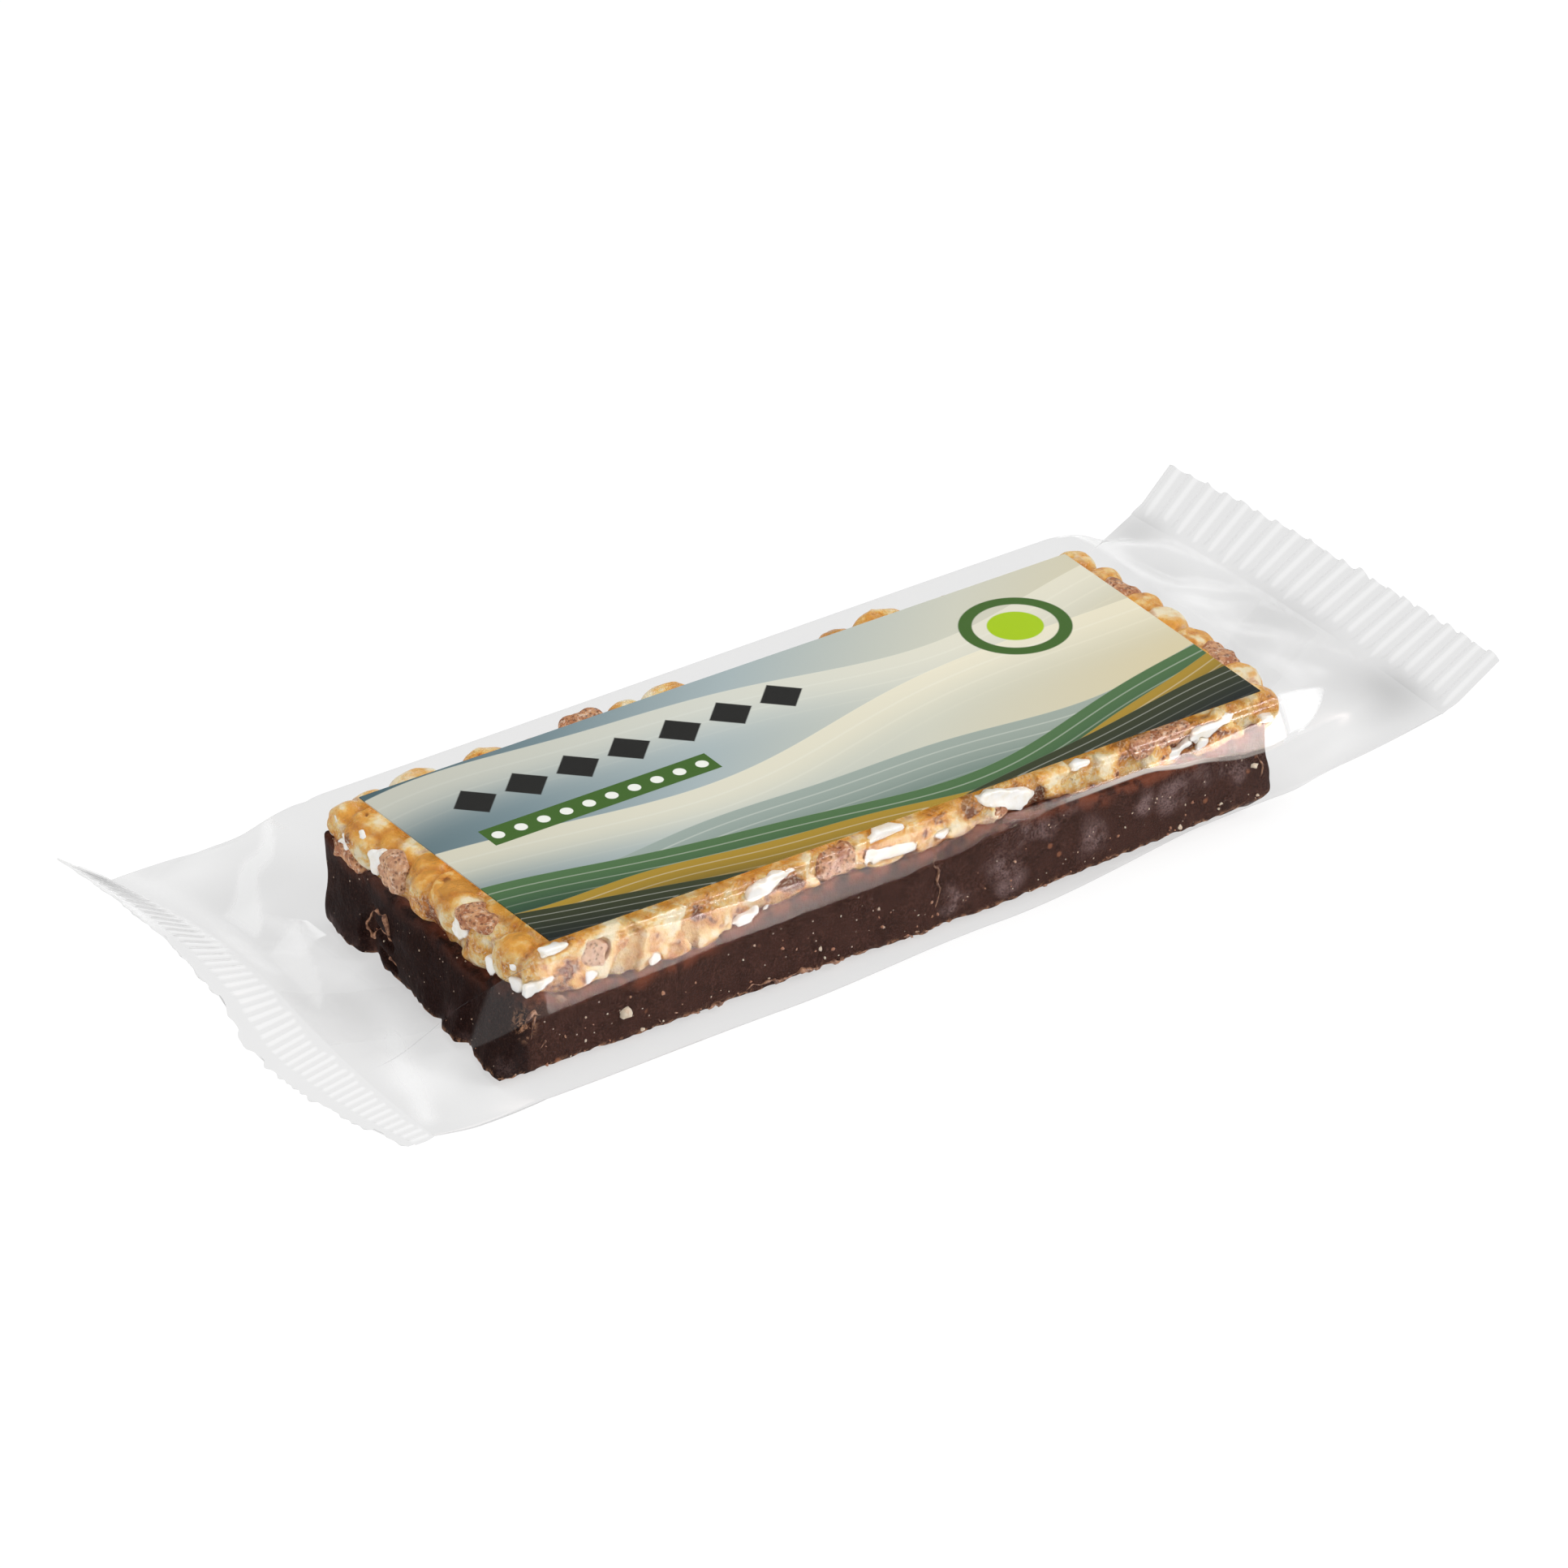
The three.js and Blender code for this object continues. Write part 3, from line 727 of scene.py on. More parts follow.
cereal = {
    "grain": 0.235,
    "spacing": (6.0, 5.4),  # of the crisps, along the bar and across it
    "size": (2.7, 4.0),
    "levels": (8.6, 12.2),  # height of the rows of crisps
    "seed": 5,
    "coreDepth": 0.45,  # how far the filling between the crisps lies below the cut front
    "endDepth": 2.0,  # the same at the other sides
    "terrace": 0.9,  # height of the broken edges on the cut front
    "crumble": 0.26,  # height of the crumbs on it
    "blend": 0.3,  # how softly crisps meet
    "flatTop": 14.9,  # the hidden part under the label, and the one inside the chocolate
    "flatBottom": 8.2,
    "underLabel": ((-45.2, 45), (-16.6, 16.4)),
    # crisps that stand out at the ends and the back: middle, half sizes, turns
    "placed": [
        ((-48.4, 18.7, 13.0), (2.8, 2.8, 2.4), (0, 0, 20)), ((-49.3, 13.6, 13.1), (2.4, 3.5, 2.0), (15, 0, 0)),
        ((-48.2, 10.6, 14.0), (1.7, 2.9, 1.4), (0, 0, -15)), ((-49.4, 1.6, 12.2), (2.4, 2.6, 3.1), (0, 0, 0)),
        ((-48.9, -3.9, 12.8), (2.6, 3.3, 2.5), (-15, 0, 0)), ((-49.4, -9.4, 11.9), (2.3, 2.8, 2.9), (10, 0, 0)),
        ((-49.0, -14.8, 12.4), (2.7, 3.3, 3.0), (0, 0, 10)), ((-44.2, -17.4, 12.6), (3.5, 3.0, 2.8), (0, 0, 0)),
        ((48.9, 18.8, 13.2), (2.6, 2.9, 2.5), (0, 0, 0)), ((49.4, 14.0, 13.3), (2.5, 2.4, 2.3), (0, 0, 20)),
        ((49.6, 6.8, 13.3), (2.5, 2.7, 2.3), (0, 0, 0)), ((49.6, 1.8, 13.3), (2.4, 3.2, 2.4), (20, 0, 0)),
        ((49.6, -3.2, 13.3), (2.4, 2.8, 2.4), (0, 0, 0)), ((49.3, -12.2, 13.2), (2.6, 2.9, 2.5), (0, 0, 0)),
        ((47.8, -16.9, 13.1), (2.8, 2.9, 2.6), (0, 0, 0)), ((-38.8, 19.9, 13.2), (3.6, 2.9, 2.5), (0, 0, 0)),
        ((-29.6, 19.7, 13.1), (3.9, 2.8, 2.5), (0, 8, 0)), ((-23.4, 19.4, 12.9), (2.8, 2.3, 2.3), (0, 0, 0)),
        ((-5.6, 19.9, 13.2), (3.8, 2.8, 2.5), (0, -6, 0)), ((-11.0, 19.7, 13.1), (2.8, 2.6, 2.4), (0, 0, 0)),
        ((23.6, 20.0, 13.2), (3.8, 2.9, 2.5), (0, 5, 0)), ((17.4, 19.8, 13.0), (2.8, 2.6, 2.4), (0, 0, 0)),
        ((3.0, 19.0, 12.7), (2.8, 2.2, 2.3), (0, 0, 0)), ((30.0, 19.1, 12.7), (2.8, 2.2, 2.3), (0, 0, 0)),
        ((40.0, 19.2, 12.8), (3.2, 2.4, 2.3), (0, 0, 0)), ((-45.0, 19.4, 13.0), (3.0, 2.7, 2.4), (0, 0, 0)),
    ],
    # from a dark crevice brown, which the painted shade in hollows reaches, over amber and gold to pale and cream
    "colors": [(0.0, (132, 70, 28)), (0.09, (214, 134, 52)), (0.28, (239, 174, 80)), (0.48, (250, 211, 136)),
               (0.7, (255, 238, 202))],
}


def warpedPoint(look, scale, reach):
    # the same place, shifted a little by noise
    noise = look.signal("ShaderNodeTexNoise", {"Vector": look.point, "Scale": scale, "Detail": 2.0}, output="Color")
    centred = look.vector("SUBTRACT", {0: noise, 1: (0.5, 0.5, 0.5)})
    return look.vector("ADD", {0: look.point, 1: look.vector("SCALE", {0: centred, "Scale": reach})})


def cerealMaterial():
    look = Look("crispedCereal")
    zone, crumb, fine = look.noise(300, 2.5, 0.5, 0.4), look.noise(1000, 5, 0.7), look.noise(3000, 3, 0.6)
    glazed = look.attribute("glaze")
    cells = look.cells(1250, warpedPoint(look, 900, 0.0005))
    # how pale the cereal is: crumb is pale, smooth syrup golden, and the carved hollows darker amber, a painted shade
    pale = (zone - 0.5) * 1.9 + look.attribute("lift") + (crumb - 0.5) * 0.75
    pale = pale + cells.remap(0.15, 0.75, 0.5, -0.5) * 0.14 + (look.attribute("tone") - 0.5) * 0.28
    # the carved hollows are painted darker, as shade
    pale = pale + look.attribute("hollow") * -0.6
    base = look.ramp(pale, cereal["colors"])
    base = look.mix(fine.remap(0.5, 0.62, 0, 0.5) * (1.0 - glazed), base, (255, 242, 216))
    base = look.mix(glazed * zone.remap(0.44, 0.6, 0.7, 0.0), base, (238, 172, 74))
    # painted shade where two crisps meet
    base = look.mix(look.attribute("gap") * crumb.remap(0.38, 0.6, 0.2, 0.6), base, (186, 104, 36))
    pores = look.cells(1300).remap(0.08, 0.3, 1, 0) * crumb.remap(0.48, 0.66)
    base = look.mix(pores * 0.18, base, (214, 138, 60))
    low = look.attribute("low") * crumb.remap(0.36, 0.6, 0.15, 1)
    base = look.mix(low * 0.6, base, (188, 108, 52))
    rise = fine * 0.5 + (crumb - pores * 0.6) + cells * -0.15
    strength = look.math("MAXIMUM", look.attribute("terrace"), glazed) * -0.5 + 1.0
    rough = glazed * -0.18 + pale.remap(0.2, 0.9, 0.42, 0.62)
    return look.solid(base, rough, {
        "Normal": look.bump(rise, 0.0008, strength), "IOR": 1.45,
        "Subsurface Weight": 0.16, "Subsurface Radius": (1.0, 0.55, 0.25), "Subsurface Scale": 0.0006})


def crispList():
    # the placed crisps, then others on a shaken grid where the sides can be seen
    rng = np.random.default_rng(cereal["seed"])
    crisps = list(cereal["placed"])
    spaceX, spaceY = cereal["spacing"]
    for row, baseZ in enumerate(cereal["levels"]):
        for baseX in np.arange(bar["left"] + 2.2, bar["right"] - 1, spaceX):
            for baseY in np.arange(bar["front"] + 1.2, 20, spaceY):
                shift = rng.uniform(-1, 1, 3) * (1.9, 1.6, 0.9)
                size = rng.uniform(*cereal["size"]) * rng.uniform(0.7, 1.15, 3)
                turns = rng.uniform(-180, 180, 3)
                x, y, z = np.array([baseX + (row % 2) * spaceX / 2, baseY, baseZ]) + shift
                x = np.clip(x, bar["left"] + size.max(), bar["right"] - size.max())
                y, z = min(y, 20.4 - size.max()), min(z, bar["top"] - 0.5 * size.min())
                if min(x - bar["left"], bar["right"] - x, y - bar["front"], 21 - y) < 8:
                    crisps.append(((x, y, z), tuple(size), tuple(turns)))
    return crisps


def nearestCrisps(axes, crisps):
    # distances to the nearest crisp and to the next one, and which crisp is nearest
    shape = tuple(len(axis) for axis in axes)
    nearest, second = np.full(shape, 3.0, np.float32), np.full(shape, 3.0, np.float32)
    owner = np.zeros(shape, np.int16)
    for number, crisp in enumerate(crisps):
        part, place = window(axes, crisp[0], max(crisp[1]) * 1.25 + 0.4)
        distance = puffDistance(crisp, *place).astype(np.float32)
        closer = distance < nearest[part]
        second[part] = np.where(closer, nearest[part], np.minimum(second[part], distance))
        owner[part] = np.where(closer, number, owner[part])
        nearest[part] = np.minimum(nearest[part], distance)
    return nearest, second, owner


def makeCereal():
    axes = makeAxes((-53.2, -21, 5.6), (52.8, 23.4, 16.4), cereal["grain"])
    x, y, z = spread(axes)
    front, left, top = bar["front"], bar["left"], bar["top"]
    crisps = crispList()
    nearest, second, owner = nearestCrisps(axes, crisps)
    blend, crumble, depth, endDepth = (cereal[key] for key in ("blend", "crumble", "coreDepth", "endDepth"))
    overlap = np.maximum(blend - np.abs(nearest - second), 0) / blend
    fine = noiseSum(axes, (0.65, 1.3, 32), (0.5, 0.65, 35))
    broad = gridNoise(axes, 5.5, 36)
    terrace = smoothStep(noiseSum(axes, (1, 2.4, 31), (0.55, 1.1, 33)), -0.14, 0.14)
    hollow = np.maximum(noiseSum(axes, (1, 1.4, 34), (0.4, 0.7, 37)) - 0.86, 0)
    crisp = nearest - overlap**2 * blend / 4 - 0.7 * crumble * fine + 0.15 * broad - 0.15 * (terrace - 0.5)
    atEnds = 1.1 * (smoothStep(x, 46.5, 48.5) + smoothStep(x, -46.5, -48.5))
    core = largest([front + depth - y, y - 20.8 + endDepth, left + 0.6 * endDepth - x,
                    x - follow(bar["rimRight"], y) + endDepth, z - top + 0.8 + atEnds, 6.2 - z])
    field = np.minimum(crisp, core - crumble * fine)
    # the cut front breaks in terraces and crumbs; the top is rolled flat
    recess = 0.55 - cereal["terrace"] * (terrace - 0.5) - crumble * fine - 0.15 * broad
    cut = softMax([front + recess - y, left + 0.1 - x + 0.2 * broad,
                   z - top + 0.3 * rimFall(x) + 0.1 * (1 - fine)], 0.2)
    field = np.maximum(field, cut) + 1.5 * hollow
    line = layerLine(x, y)
    field += 0.4 * smoothStep(z, line + 0.4, line - 0.4)
    for middle, radius in boundaryPits():
        carve(field, axes, middle, radius)
    # the cut front gives way to the puffs and chips set into it
    for kind, distance in ((cocoaPuffs, puffDistance), (whiteChips, chipDistance)):
        for piece in (piece for piece in kind["pieces"] if piece[0][1] < -17):
            part, place = window(axes, piece[0], max(piece[1]) + 0.6)
            room = np.minimum(-0.1 - distance(piece, *place), front + 1.0 - place[1])
            field[part] = np.maximum(field[part], room)
    # the part under the label is plain, and so is the part inside the chocolate
    underLabel = within(x, -45.4, 45.2, 1) * within(y, -16.8, 16.6, 1)
    field = np.where(underLabel > 0.99, np.maximum(z - cereal["flatTop"], -5.0), field)
    field = np.maximum(field, (line - 0.9) + (cereal["flatBottom"] - line + 0.9) * hiddenPart(x, y) - z)
    verts, faces, cells = fieldSurface(field, axes)
    faces = dropHidden(verts, faces, cereal["flatTop"], *cereal["underLabel"])
    faces = dropHidden(verts, faces, cereal["flatBottom"], *bar["hidden"])
    cell = tuple(cells.T)
    nearest, second, fine, terrace, hollow = (grid[cell] for grid in (nearest, second, fine, terrace, hollow))
    vx, vy, vz = verts.T
    atCut = smoothStep(vy, front + 2.2, front + 1.2)
    tones = np.random.default_rng(6).uniform(0, 1, len(crisps))[owner[cell]]
    lift = 0.39 + (-0.06 + 0.07 * smoothStep(vx, 44, 48)) * (1 - atCut)
    lift = lift - atCut * (0.15 * smoothStep(vx, -2, 20) - 0.2 * smoothStep(vx, 44, 47))
    glaze = np.maximum(smoothStep(vz, top - 2.2, top - 0.5), 0.6 * smoothStep(vx, 45, 49))
    values = {
        "lift": np.clip(lift + 0.3 * fine + 0.12 * (terrace - 0.5), 0, 1),
        "terrace": terrace * atCut,
        # hollow and gap set painted shade in the material
        "hollow": np.clip(hollow * 2.6, 0, 1),
        "glaze": glaze * (1 - 0.6 * atCut),
        "gap": smoothStep(second - nearest, 0.6, 0.1) * smoothStep(nearest, -1.7, -0.5) * (1 - atCut),
        "tone": tones * (1 - atCut) + 0.5 * atCut,
        "low": smoothStep(vz - layerLine(vx, vy), 1.0, 0.0),
    }
    piece = meshFromArrays("cerealLayer", verts, faces, cerealMaterial(), values)
    closeHoles(piece)
    return piece


def cocoaMaterial():
    look = Look("cocoaPuff")
    mottle = look.noise(900, 5, 0.72)
    pores = look.cells(1900).remap(0.1, 0.42, 1, 0)
    base = look.mix(mottle.remap(0.38, 0.62), (172, 106, 68), (222, 166, 120))
    base = look.mix(look.attribute("tone").remap(0.0, 0.2, 0.5, 0.0), base, (244, 206, 172))
    base = look.mix(look.noise(1700, 4, 0.65).remap(0.52, 0.64, 0, 0.75), base, (242, 212, 186))
    base = look.mix(pores * 0.5, base, (112, 64, 44))
    return look.solid(base, 0.62, {
        "Normal": look.bump(mottle - pores * 0.8, 0.0005, 0.8),
        "Subsurface Weight": 0.15, "Subsurface Radius": (1.0, 0.5, 0.3), "Subsurface Scale": 0.0005})


def chipMaterial():
    look = Look("whiteChip")
    mottle = look.noise(700, 4, 0.6)
    return look.solid(look.mix(mottle.remap(0.4, 0.7), (254, 252, 247), (246, 238, 222)), 0.45, {
        "Normal": look.bump(mottle, 0.0001, 0.5),
        "Subsurface Weight": 0.2, "Subsurface Radius": (1.0, 0.95, 0.85), "Subsurface Scale": 0.0005})


# Crumbs on the chocolate

crumbs = {
    "count": 130,
    "size": (0.07, 0.26),
    "onFront": 0.75,  # the share of them that lies on the front
    "seed": 8,
    # the larger ones on the front: x, z, size
    "large": [(-38.4, 4.4, 0.75), (-36.0, 1.4, 0.5), (-12.2, 3.4, 0.4), (46.3, 7.3, 0.34), (46.7, 3.4, 0.34),
              (36.2, 2.7, 0.3), (28.7, 5.2, 0.2), (34.7, 7.1, 0.16), (41.6, 3.2, 0.2)],
}


def crumbMaterial():
    look = Look("paleCrumb")
    mottle = look.noise(1500, 3, 0.6)
    base = look.mix(look.attribute("tone").remap(0.3, 0.8), (176, 118, 88), (236, 220, 196))
    base = look.mix(mottle.remap(0.45, 0.7, 0, 0.5), base, (206, 160, 124))
    return look.solid(base, 0.7, {"Normal": look.bump(mottle, 0.0001, 0.6)})


def makeCrumbs(find):
    rng = np.random.default_rng(crumbs["seed"])
    ball = bmesh.new()
    bmesh.ops.create_icosphere(ball, subdivisions=2, radius=1)
    ballVerts = np.array([v.co[:] for v in ball.verts])
    ballFaces = np.array([[v.index for v in face.verts] for face in ball.faces])
    ball.free()
    places = [(find(x, z), size, 1.0) for x, z, size in crumbs["large"]]
    for _ in range(crumbs["count"]):
        size = rng.uniform(*crumbs["size"]) * rng.uniform(0.4, 1)
        if rng.random() < crumbs["onFront"]:
            x = rng.uniform(-49, 47)
            z = follow(bar["bottomLine"], x) + 0.4 + rng.beta(1, 2.0) * 8
            places.append((find(x, z), size, rng.random()))
        else:
            places.append((find(rng.uniform(-15, 19), rng.uniform(1.5, 8.5), True), size * 0.6, rng.random()))
    parts = []
    for middle, size, tone in places:
        if middle is not None:
            shape = ballVerts * (1 + 0.5 * rng.uniform(-1, 1, (len(ballVerts), 1))) * rng.uniform(0.4, 1.2, 3) * size
            parts.append((shape @ turnMatrix(rng.uniform(0, 6, 3)).T + middle, ballFaces, tone))
    return joinedMesh("chocolateCrumbs", parts, crumbMaterial())


# Clear film: the same form as the solid, with finer seals and soft wrinkles

film = {
    "slack": 0.5,
    "roof": 15.7,
    "cornerRadius": 1.0,
    "endRounding": 0.3,
    "endRoundingLength": 2.4,
    # how much the film leans out from the top to the crease, (x, lean), and where its upper part bends again, (x, z)
    "creaseLean": [(-52, 0.37), (8, 0.38), (18, 0.52), (30, 0.50), (38, 0.47), (45, 0.44), (50.5, 0.42)],
    "bandTop": [(-52, 14.6), (-36, 14.6), (-31, 14.0), (-20, 13.5), (16, 13.3), (33, 13.3), (38, 13.15), (42, 13.25),
                (50.5, 13.75)],
    "bandBulge": 0.14,
    "creaseRadius": 0.4,
    "stretches": (16, 7, 14, 5, 9, 60, 9, 22),  # columns of the upper film, from the front fold to the back fold
    # the folds, (x, y, z)
    "frontFold": [(-52, -24.4, 0.4), (-20, -23.6, 0.4), (10, -21.6, 0.4), (50.5, -20.3, 3.5)],
    "backFold": [(-52, 22.7, 10), (50.5, 24.1, 9)],
    "backEdge": [(-52, 22.9), (50.5, 23.8)],
    "backRadius": 1.1,
    "creaseHeight": [(-52, 9.4), (-36, 9.85), (-25, 10.25), (-5, 10.45), (4, 10.8), (11, 11.65), (18, 12.75),
                     (30, 12.85), (36, 12.0), (44, 10.75), (47, 10.65), (50.5, 11.05)],
    "underside": [(15, 0.3), (50.5, 1.8)],
    "ends": (-52.0, 50.5),
    "sheetGap": 0.08,  # half the distance between the two films in a seal
    "wrinkle": 0.55,
    "holdFront": 0.95,  # how long the film keeps the bar's form before it turns to a seal
    "holdTop": 0.55,
    "creaseFade": 0.07,
    # painted highlight along the crease, and strength of the mirrored light on the front, (x, amount)
    "creaseHighlight": [(12, 0), (17, 0.35), (22, 0.95), (28, 1.3), (36, 1.4), (40, 0.6), (50, 0.6), (56, 0)],
    "frontGleam": [(-60, 0.8), (-48, 0.9), (-20, 1.1), (-8, 0.85), (6, 0.45), (18, 0.35), (26, 0.9), (34, 1.4),
                   (50, 1.6), (56, 1.5), (60, 1)],
    "facetHighlight": 0.075,  # painted highlight on the flat facet that the film forms at the left end
    "facetReach": 0.46,
    "tailHighlight": 1.9,  # painted highlight on the fold past the right end
    "tailReach": 0.42,
    # painted highlights on facets in the loose film at the left: the place from the bar 0 to the seal 1, then both
    # sides as shares across
    "highlightFacets": [([(0.09, 0.965, 0.974), (0.5, 0.828, 0.872), (0.87, 0.671, 0.776)], 0.75),
               ([(0.62, 0.645, 0.655), (0.9, 0.43, 0.616)], 0.6)],
    "highlightStreak": [(0.045, 0.91), (0.15, 0.82), (0.27, 0.74)],  # a painted highlight along a soft fold there, (share across, place)
    # painted shade where the film is darker before a seal: strength, middle and width as shares across
    "shadeBands": [(0.9, 0.13, 0.09), (0.45, 0.5, 0.16), (0.6, 0.95, 0.06)],
    "throat": 0.12,
    "endCount": 34,
    "tint": 0.885,  # light that one layer lets through
    "crimpAndHighlightTint": 0.935,  # the same where the crimp has pressed it thin, and for painted highlights on the flutes, wrinkle crests and folds
    "shadeTint": 0.68,  # darker tint for painted shade: before the seals, at the foot of the left end and in wrinkle hollows
    "shine": 0.004,
}
leftSeal = {
    "start": [(-66.6, -25.2, 1.4), (-66.8, -14, 2.4), (-66.8, -2, 4), (-66.8, 9, 5.6), (-67.8, 20, 6.2),
              (-71.6, 30.4, 7.6)],
    "edge": [(-70.2, -24.6, 0.9), (-72.4, -16, 0.9), (-73.6, -8, 1), (-74, 0, 1.8), (-74.4, 7, 6.2), (-75.4, 15, 9.2),
             (-77, 24, 11.2), (-79, 31, 12.9)],
    "flutes": 46, "perFlute": 10, "depth": 0.2, "bareEdge": 0.22, "up": -1, "barShare": 0.5, "barPlace": 0.5,
    "ragged": 1, "bowFront": -0.7, "bowBack": 1.3, "paler": 0.14, "rootShade": 0.1,
}
rightSeal = {
    "start": [(64.4, -28.4, 11.2), (64.7, -8, 11.4), (64.4, 12, 10.9), (63.2, 28.6, 10.6)],
    "edge": [(73.4, -28, 16.3), (73.8, -12, 15.3), (73.4, 2, 15), (71.6, 15, 15.6), (69.6, 29.4, 15.8)],
    "flutes": 21, "perFlute": 20, "depth": 0.42, "bareEdge": 0.0, "up": 1, "barShare": 0.16, "barPlace": 0.3,
    "ragged": 0.5, "bowFront": -0.4, "bowBack": 0.0, "paler": -0.06, "rootShade": 1,
}


def evenPoints(points, shares):
    # points at the given shares of a polyline's length
    points = np.array(points, float)
    lengths = np.concatenate([[0], np.cumsum(np.linalg.norm(np.diff(points, axis=0), axis=1))])
    at = np.asarray(shares) * lengths[-1]
    return np.stack([np.interp(at, lengths, points[:, k]) for k in range(points.shape[1])], 1)


def curveThrough(points, count=200):
    # a smooth curve through a few points, drawn as three.js draws its own
    points = np.array(points, float)
    ends = np.concatenate([[2 * points[0] - points[1]], points, [2 * points[-1] - points[-2]]])
    result = []
    for i in range(1, len(ends) - 2):
        p0, p1, p2, p3 = ends[i - 1:i + 3]
        gaps = [max(np.linalg.norm(b - a) ** 0.5, 1e-6) for a, b in ((p0, p1), (p1, p2), (p2, p3))]
        tangent1 = ((p1 - p0) / gaps[0] - (p2 - p0) / (gaps[0] + gaps[1]) + (p2 - p1) / gaps[1]) * gaps[1]
        tangent2 = ((p2 - p1) / gaps[1] - (p3 - p1) / (gaps[1] + gaps[2]) + (p3 - p2) / gaps[2]) * gaps[1]
        t = np.linspace(0, 1, count // (len(points) - 1), endpoint=False)[:, None]
        result.append((2 * t**3 - 3 * t**2 + 1) * p1 + (t**3 - 2 * t**2 + t) * tangent1
                      + (-2 * t**3 + 3 * t**2) * p2 + (t**3 - t**2) * tangent2)
    return np.concatenate(result + [points[-1:]])


def toward(a, b, distance):
    a, b = np.array(a), np.array(b)
    return a + (b - a) * distance / np.linalg.norm(b - a)


def foldsAt(x):
    # (y, z) of the front fold and of the back fold
    return [tuple(float(v) for v in follow(film[key], x)) for key in ("frontFold", "backFold")]


def upperRow(x):
    # the upper film at x, from the front fold over the top to the back fold
    frontFold, backFold = foldsAt(x)
    creaseZ, lean, bandZ, back = (float(follow(film[key], x))
                                  for key in ("creaseHeight", "creaseLean", "bandTop", "backEdge"))
    front = bar["front"] - film["slack"]
    nearEnd = max(0, 1 - min(x - film["ends"][0], film["ends"][1] - x) / film["endRoundingLength"])
    top = film["roof"] - film["endRounding"] * nearEnd**2
    radius, backRadius = film["cornerRadius"], film["backRadius"]
    crease = (front - lean * (top - creaseZ), creaseZ)
    bend = (front, top - radius)
    share = (bandZ - creaseZ) / (bend[1] - creaseZ)
    band = (crease[0] + (bend[0] - crease[0]) * share - film["bandBulge"], bandZ)
    stops = [frontFold, toward(crease, frontFold, film["creaseRadius"]), toward(crease, band, film["creaseRadius"]),
             band, bend, (front + radius, top), (back - backRadius, top), (back, top - backRadius), backFold]
    corners = [None, crease, None, None, (front, top), None, (back, top), None]
    row = []
    for count, a, b, corner in zip(film["stretches"], stops[:-1], stops[1:], corners):
        t = np.linspace(0, 1, count, endpoint=False)[:, None]
        a, b = np.array(a), np.array(b)
        bent = a + (b - a) * t if corner is None else (1 - t) ** 2 * a + 2 * t * (1 - t) * np.array(corner) + t**2 * b
        row.append(bent)
    row = np.concatenate(row + [np.array([stops[-1]])])
    return np.column_stack([np.full(len(row), x), row])


def lowerRow(x):
    frontFold, backFold = foldsAt(x)
    back, bottom = float(follow(film["backEdge"], x)), float(follow(film["underside"], x))
    slack = film["slack"]
    corners = [frontFold, (bar["front"] + slack, bottom), (back - slack, bottom), (back, bottom + slack), backFold]
    row = evenPoints(corners, np.linspace(0, 1, sum(film["stretches"]) + 1))
    return np.column_stack([np.full(len(row), x), row])


def lengthShares(row):
    steps = np.linalg.norm(np.diff(row, axis=0), axis=1)
    return np.concatenate([[0], np.cumsum(steps)]) / steps.sum()


def sealFrame(seal, shares):
    # start and cut edge of a seal at each share across, and the direction square to the seal
    start, edge = (evenPoints(curveThrough(seal[key]), shares) for key in ("start", "edge"))
    square = np.cross(edge - start, np.gradient(start, axis=0)) * seal["up"]
    return start, edge, square / np.linalg.norm(square, axis=1)[:, None]


def fluteWave(seal, shares):
    # raised bars with soft sides, and where the pressed film is lighter: partly its pressed look, partly a painted
    # highlight on the flutes
    phase = (np.asarray(shares) * seal["flutes"]) % 1
    width = seal["barShare"]
    lightBar = smoothStep(np.abs(phase - seal["barPlace"]), width / 2 + 0.05, width / 2 - 0.04)
    return np.cos(2 * np.pi * (phase - 0.5)), lightBar


def sealRows(seal, shares, side):
    start, edge, square = sealFrame(seal, shares)
    wave, lightBar = fluteWave(seal, shares)
    bareFrom = 1 - seal["bareEdge"]
    rows, crimpAndHighlight = [], []
    uneven = 0.05 * gridNoise((np.asarray(shares) * 100.0,), 2.0, 71)
    for out in np.linspace(film["throat"], 1, 26):
        fade = float(smoothStep(out, 0.14, 0.36))
        light = smoothStep(out + uneven, 0.2, 0.26)
        if seal["bareEdge"]:
            fade *= 1 - float(smoothStep(out, bareFrom - 0.07, bareFrom))
            light = light * smoothStep(out + 0.3 * uneven, bareFrom, bareFrom - 0.04)
        offset = seal["depth"] * fade * wave + side * film["sheetGap"]
        rows.append(start + (edge - start) * out + square * offset[:, None])
        crimpAndHighlight.append(light * lightBar)
    return np.array(rows), np.array(crimpAndHighlight)


def endRows(barRow, seal, side, count):
    # film from the bar's end into the seal: it leaves the bar smoothly, straight at the folds, and its creases fade out
    shares = lengthShares(barRow)
    start, edge, square = sealFrame(seal, shares)
    throat = start + (edge - start) * film["throat"] + square * side * film["sheetGap"]
    bow = seal["bowFront"] + (seal["bowBack"] - seal["bowFront"]) * shares
    toFold = np.minimum(shares, 1 - shares)
    hold = film["holdFront"] + (film["holdTop"] - film["holdFront"]) * smoothStep(shares, 0.15, 0.4)
    turn = (throat - barRow) * (0, 1, 1) * (hold * smoothStep(toFold, 0.0, 0.06))[:, None]
    reach = np.minimum(film["creaseFade"], toFold)
    softRow = np.mean([[np.interp(shares + reach * shift, shares, barRow[:, k]) for k in range(3)]
                       for shift in np.linspace(-1, 1, 15)], axis=0).T
    rows = []
    for t in np.linspace(0, 1, count + 1)[1:]:
        soft = float(smoothStep(t, 0.05, 0.55))
        row = (barRow * (1 - soft) + softRow * soft) * (1 - t) + throat * t - turn * t * (1 - t) ** 2
        row[:, 2] += bow * math.sin(math.pi * t)
        rows.append(row)
    return rows


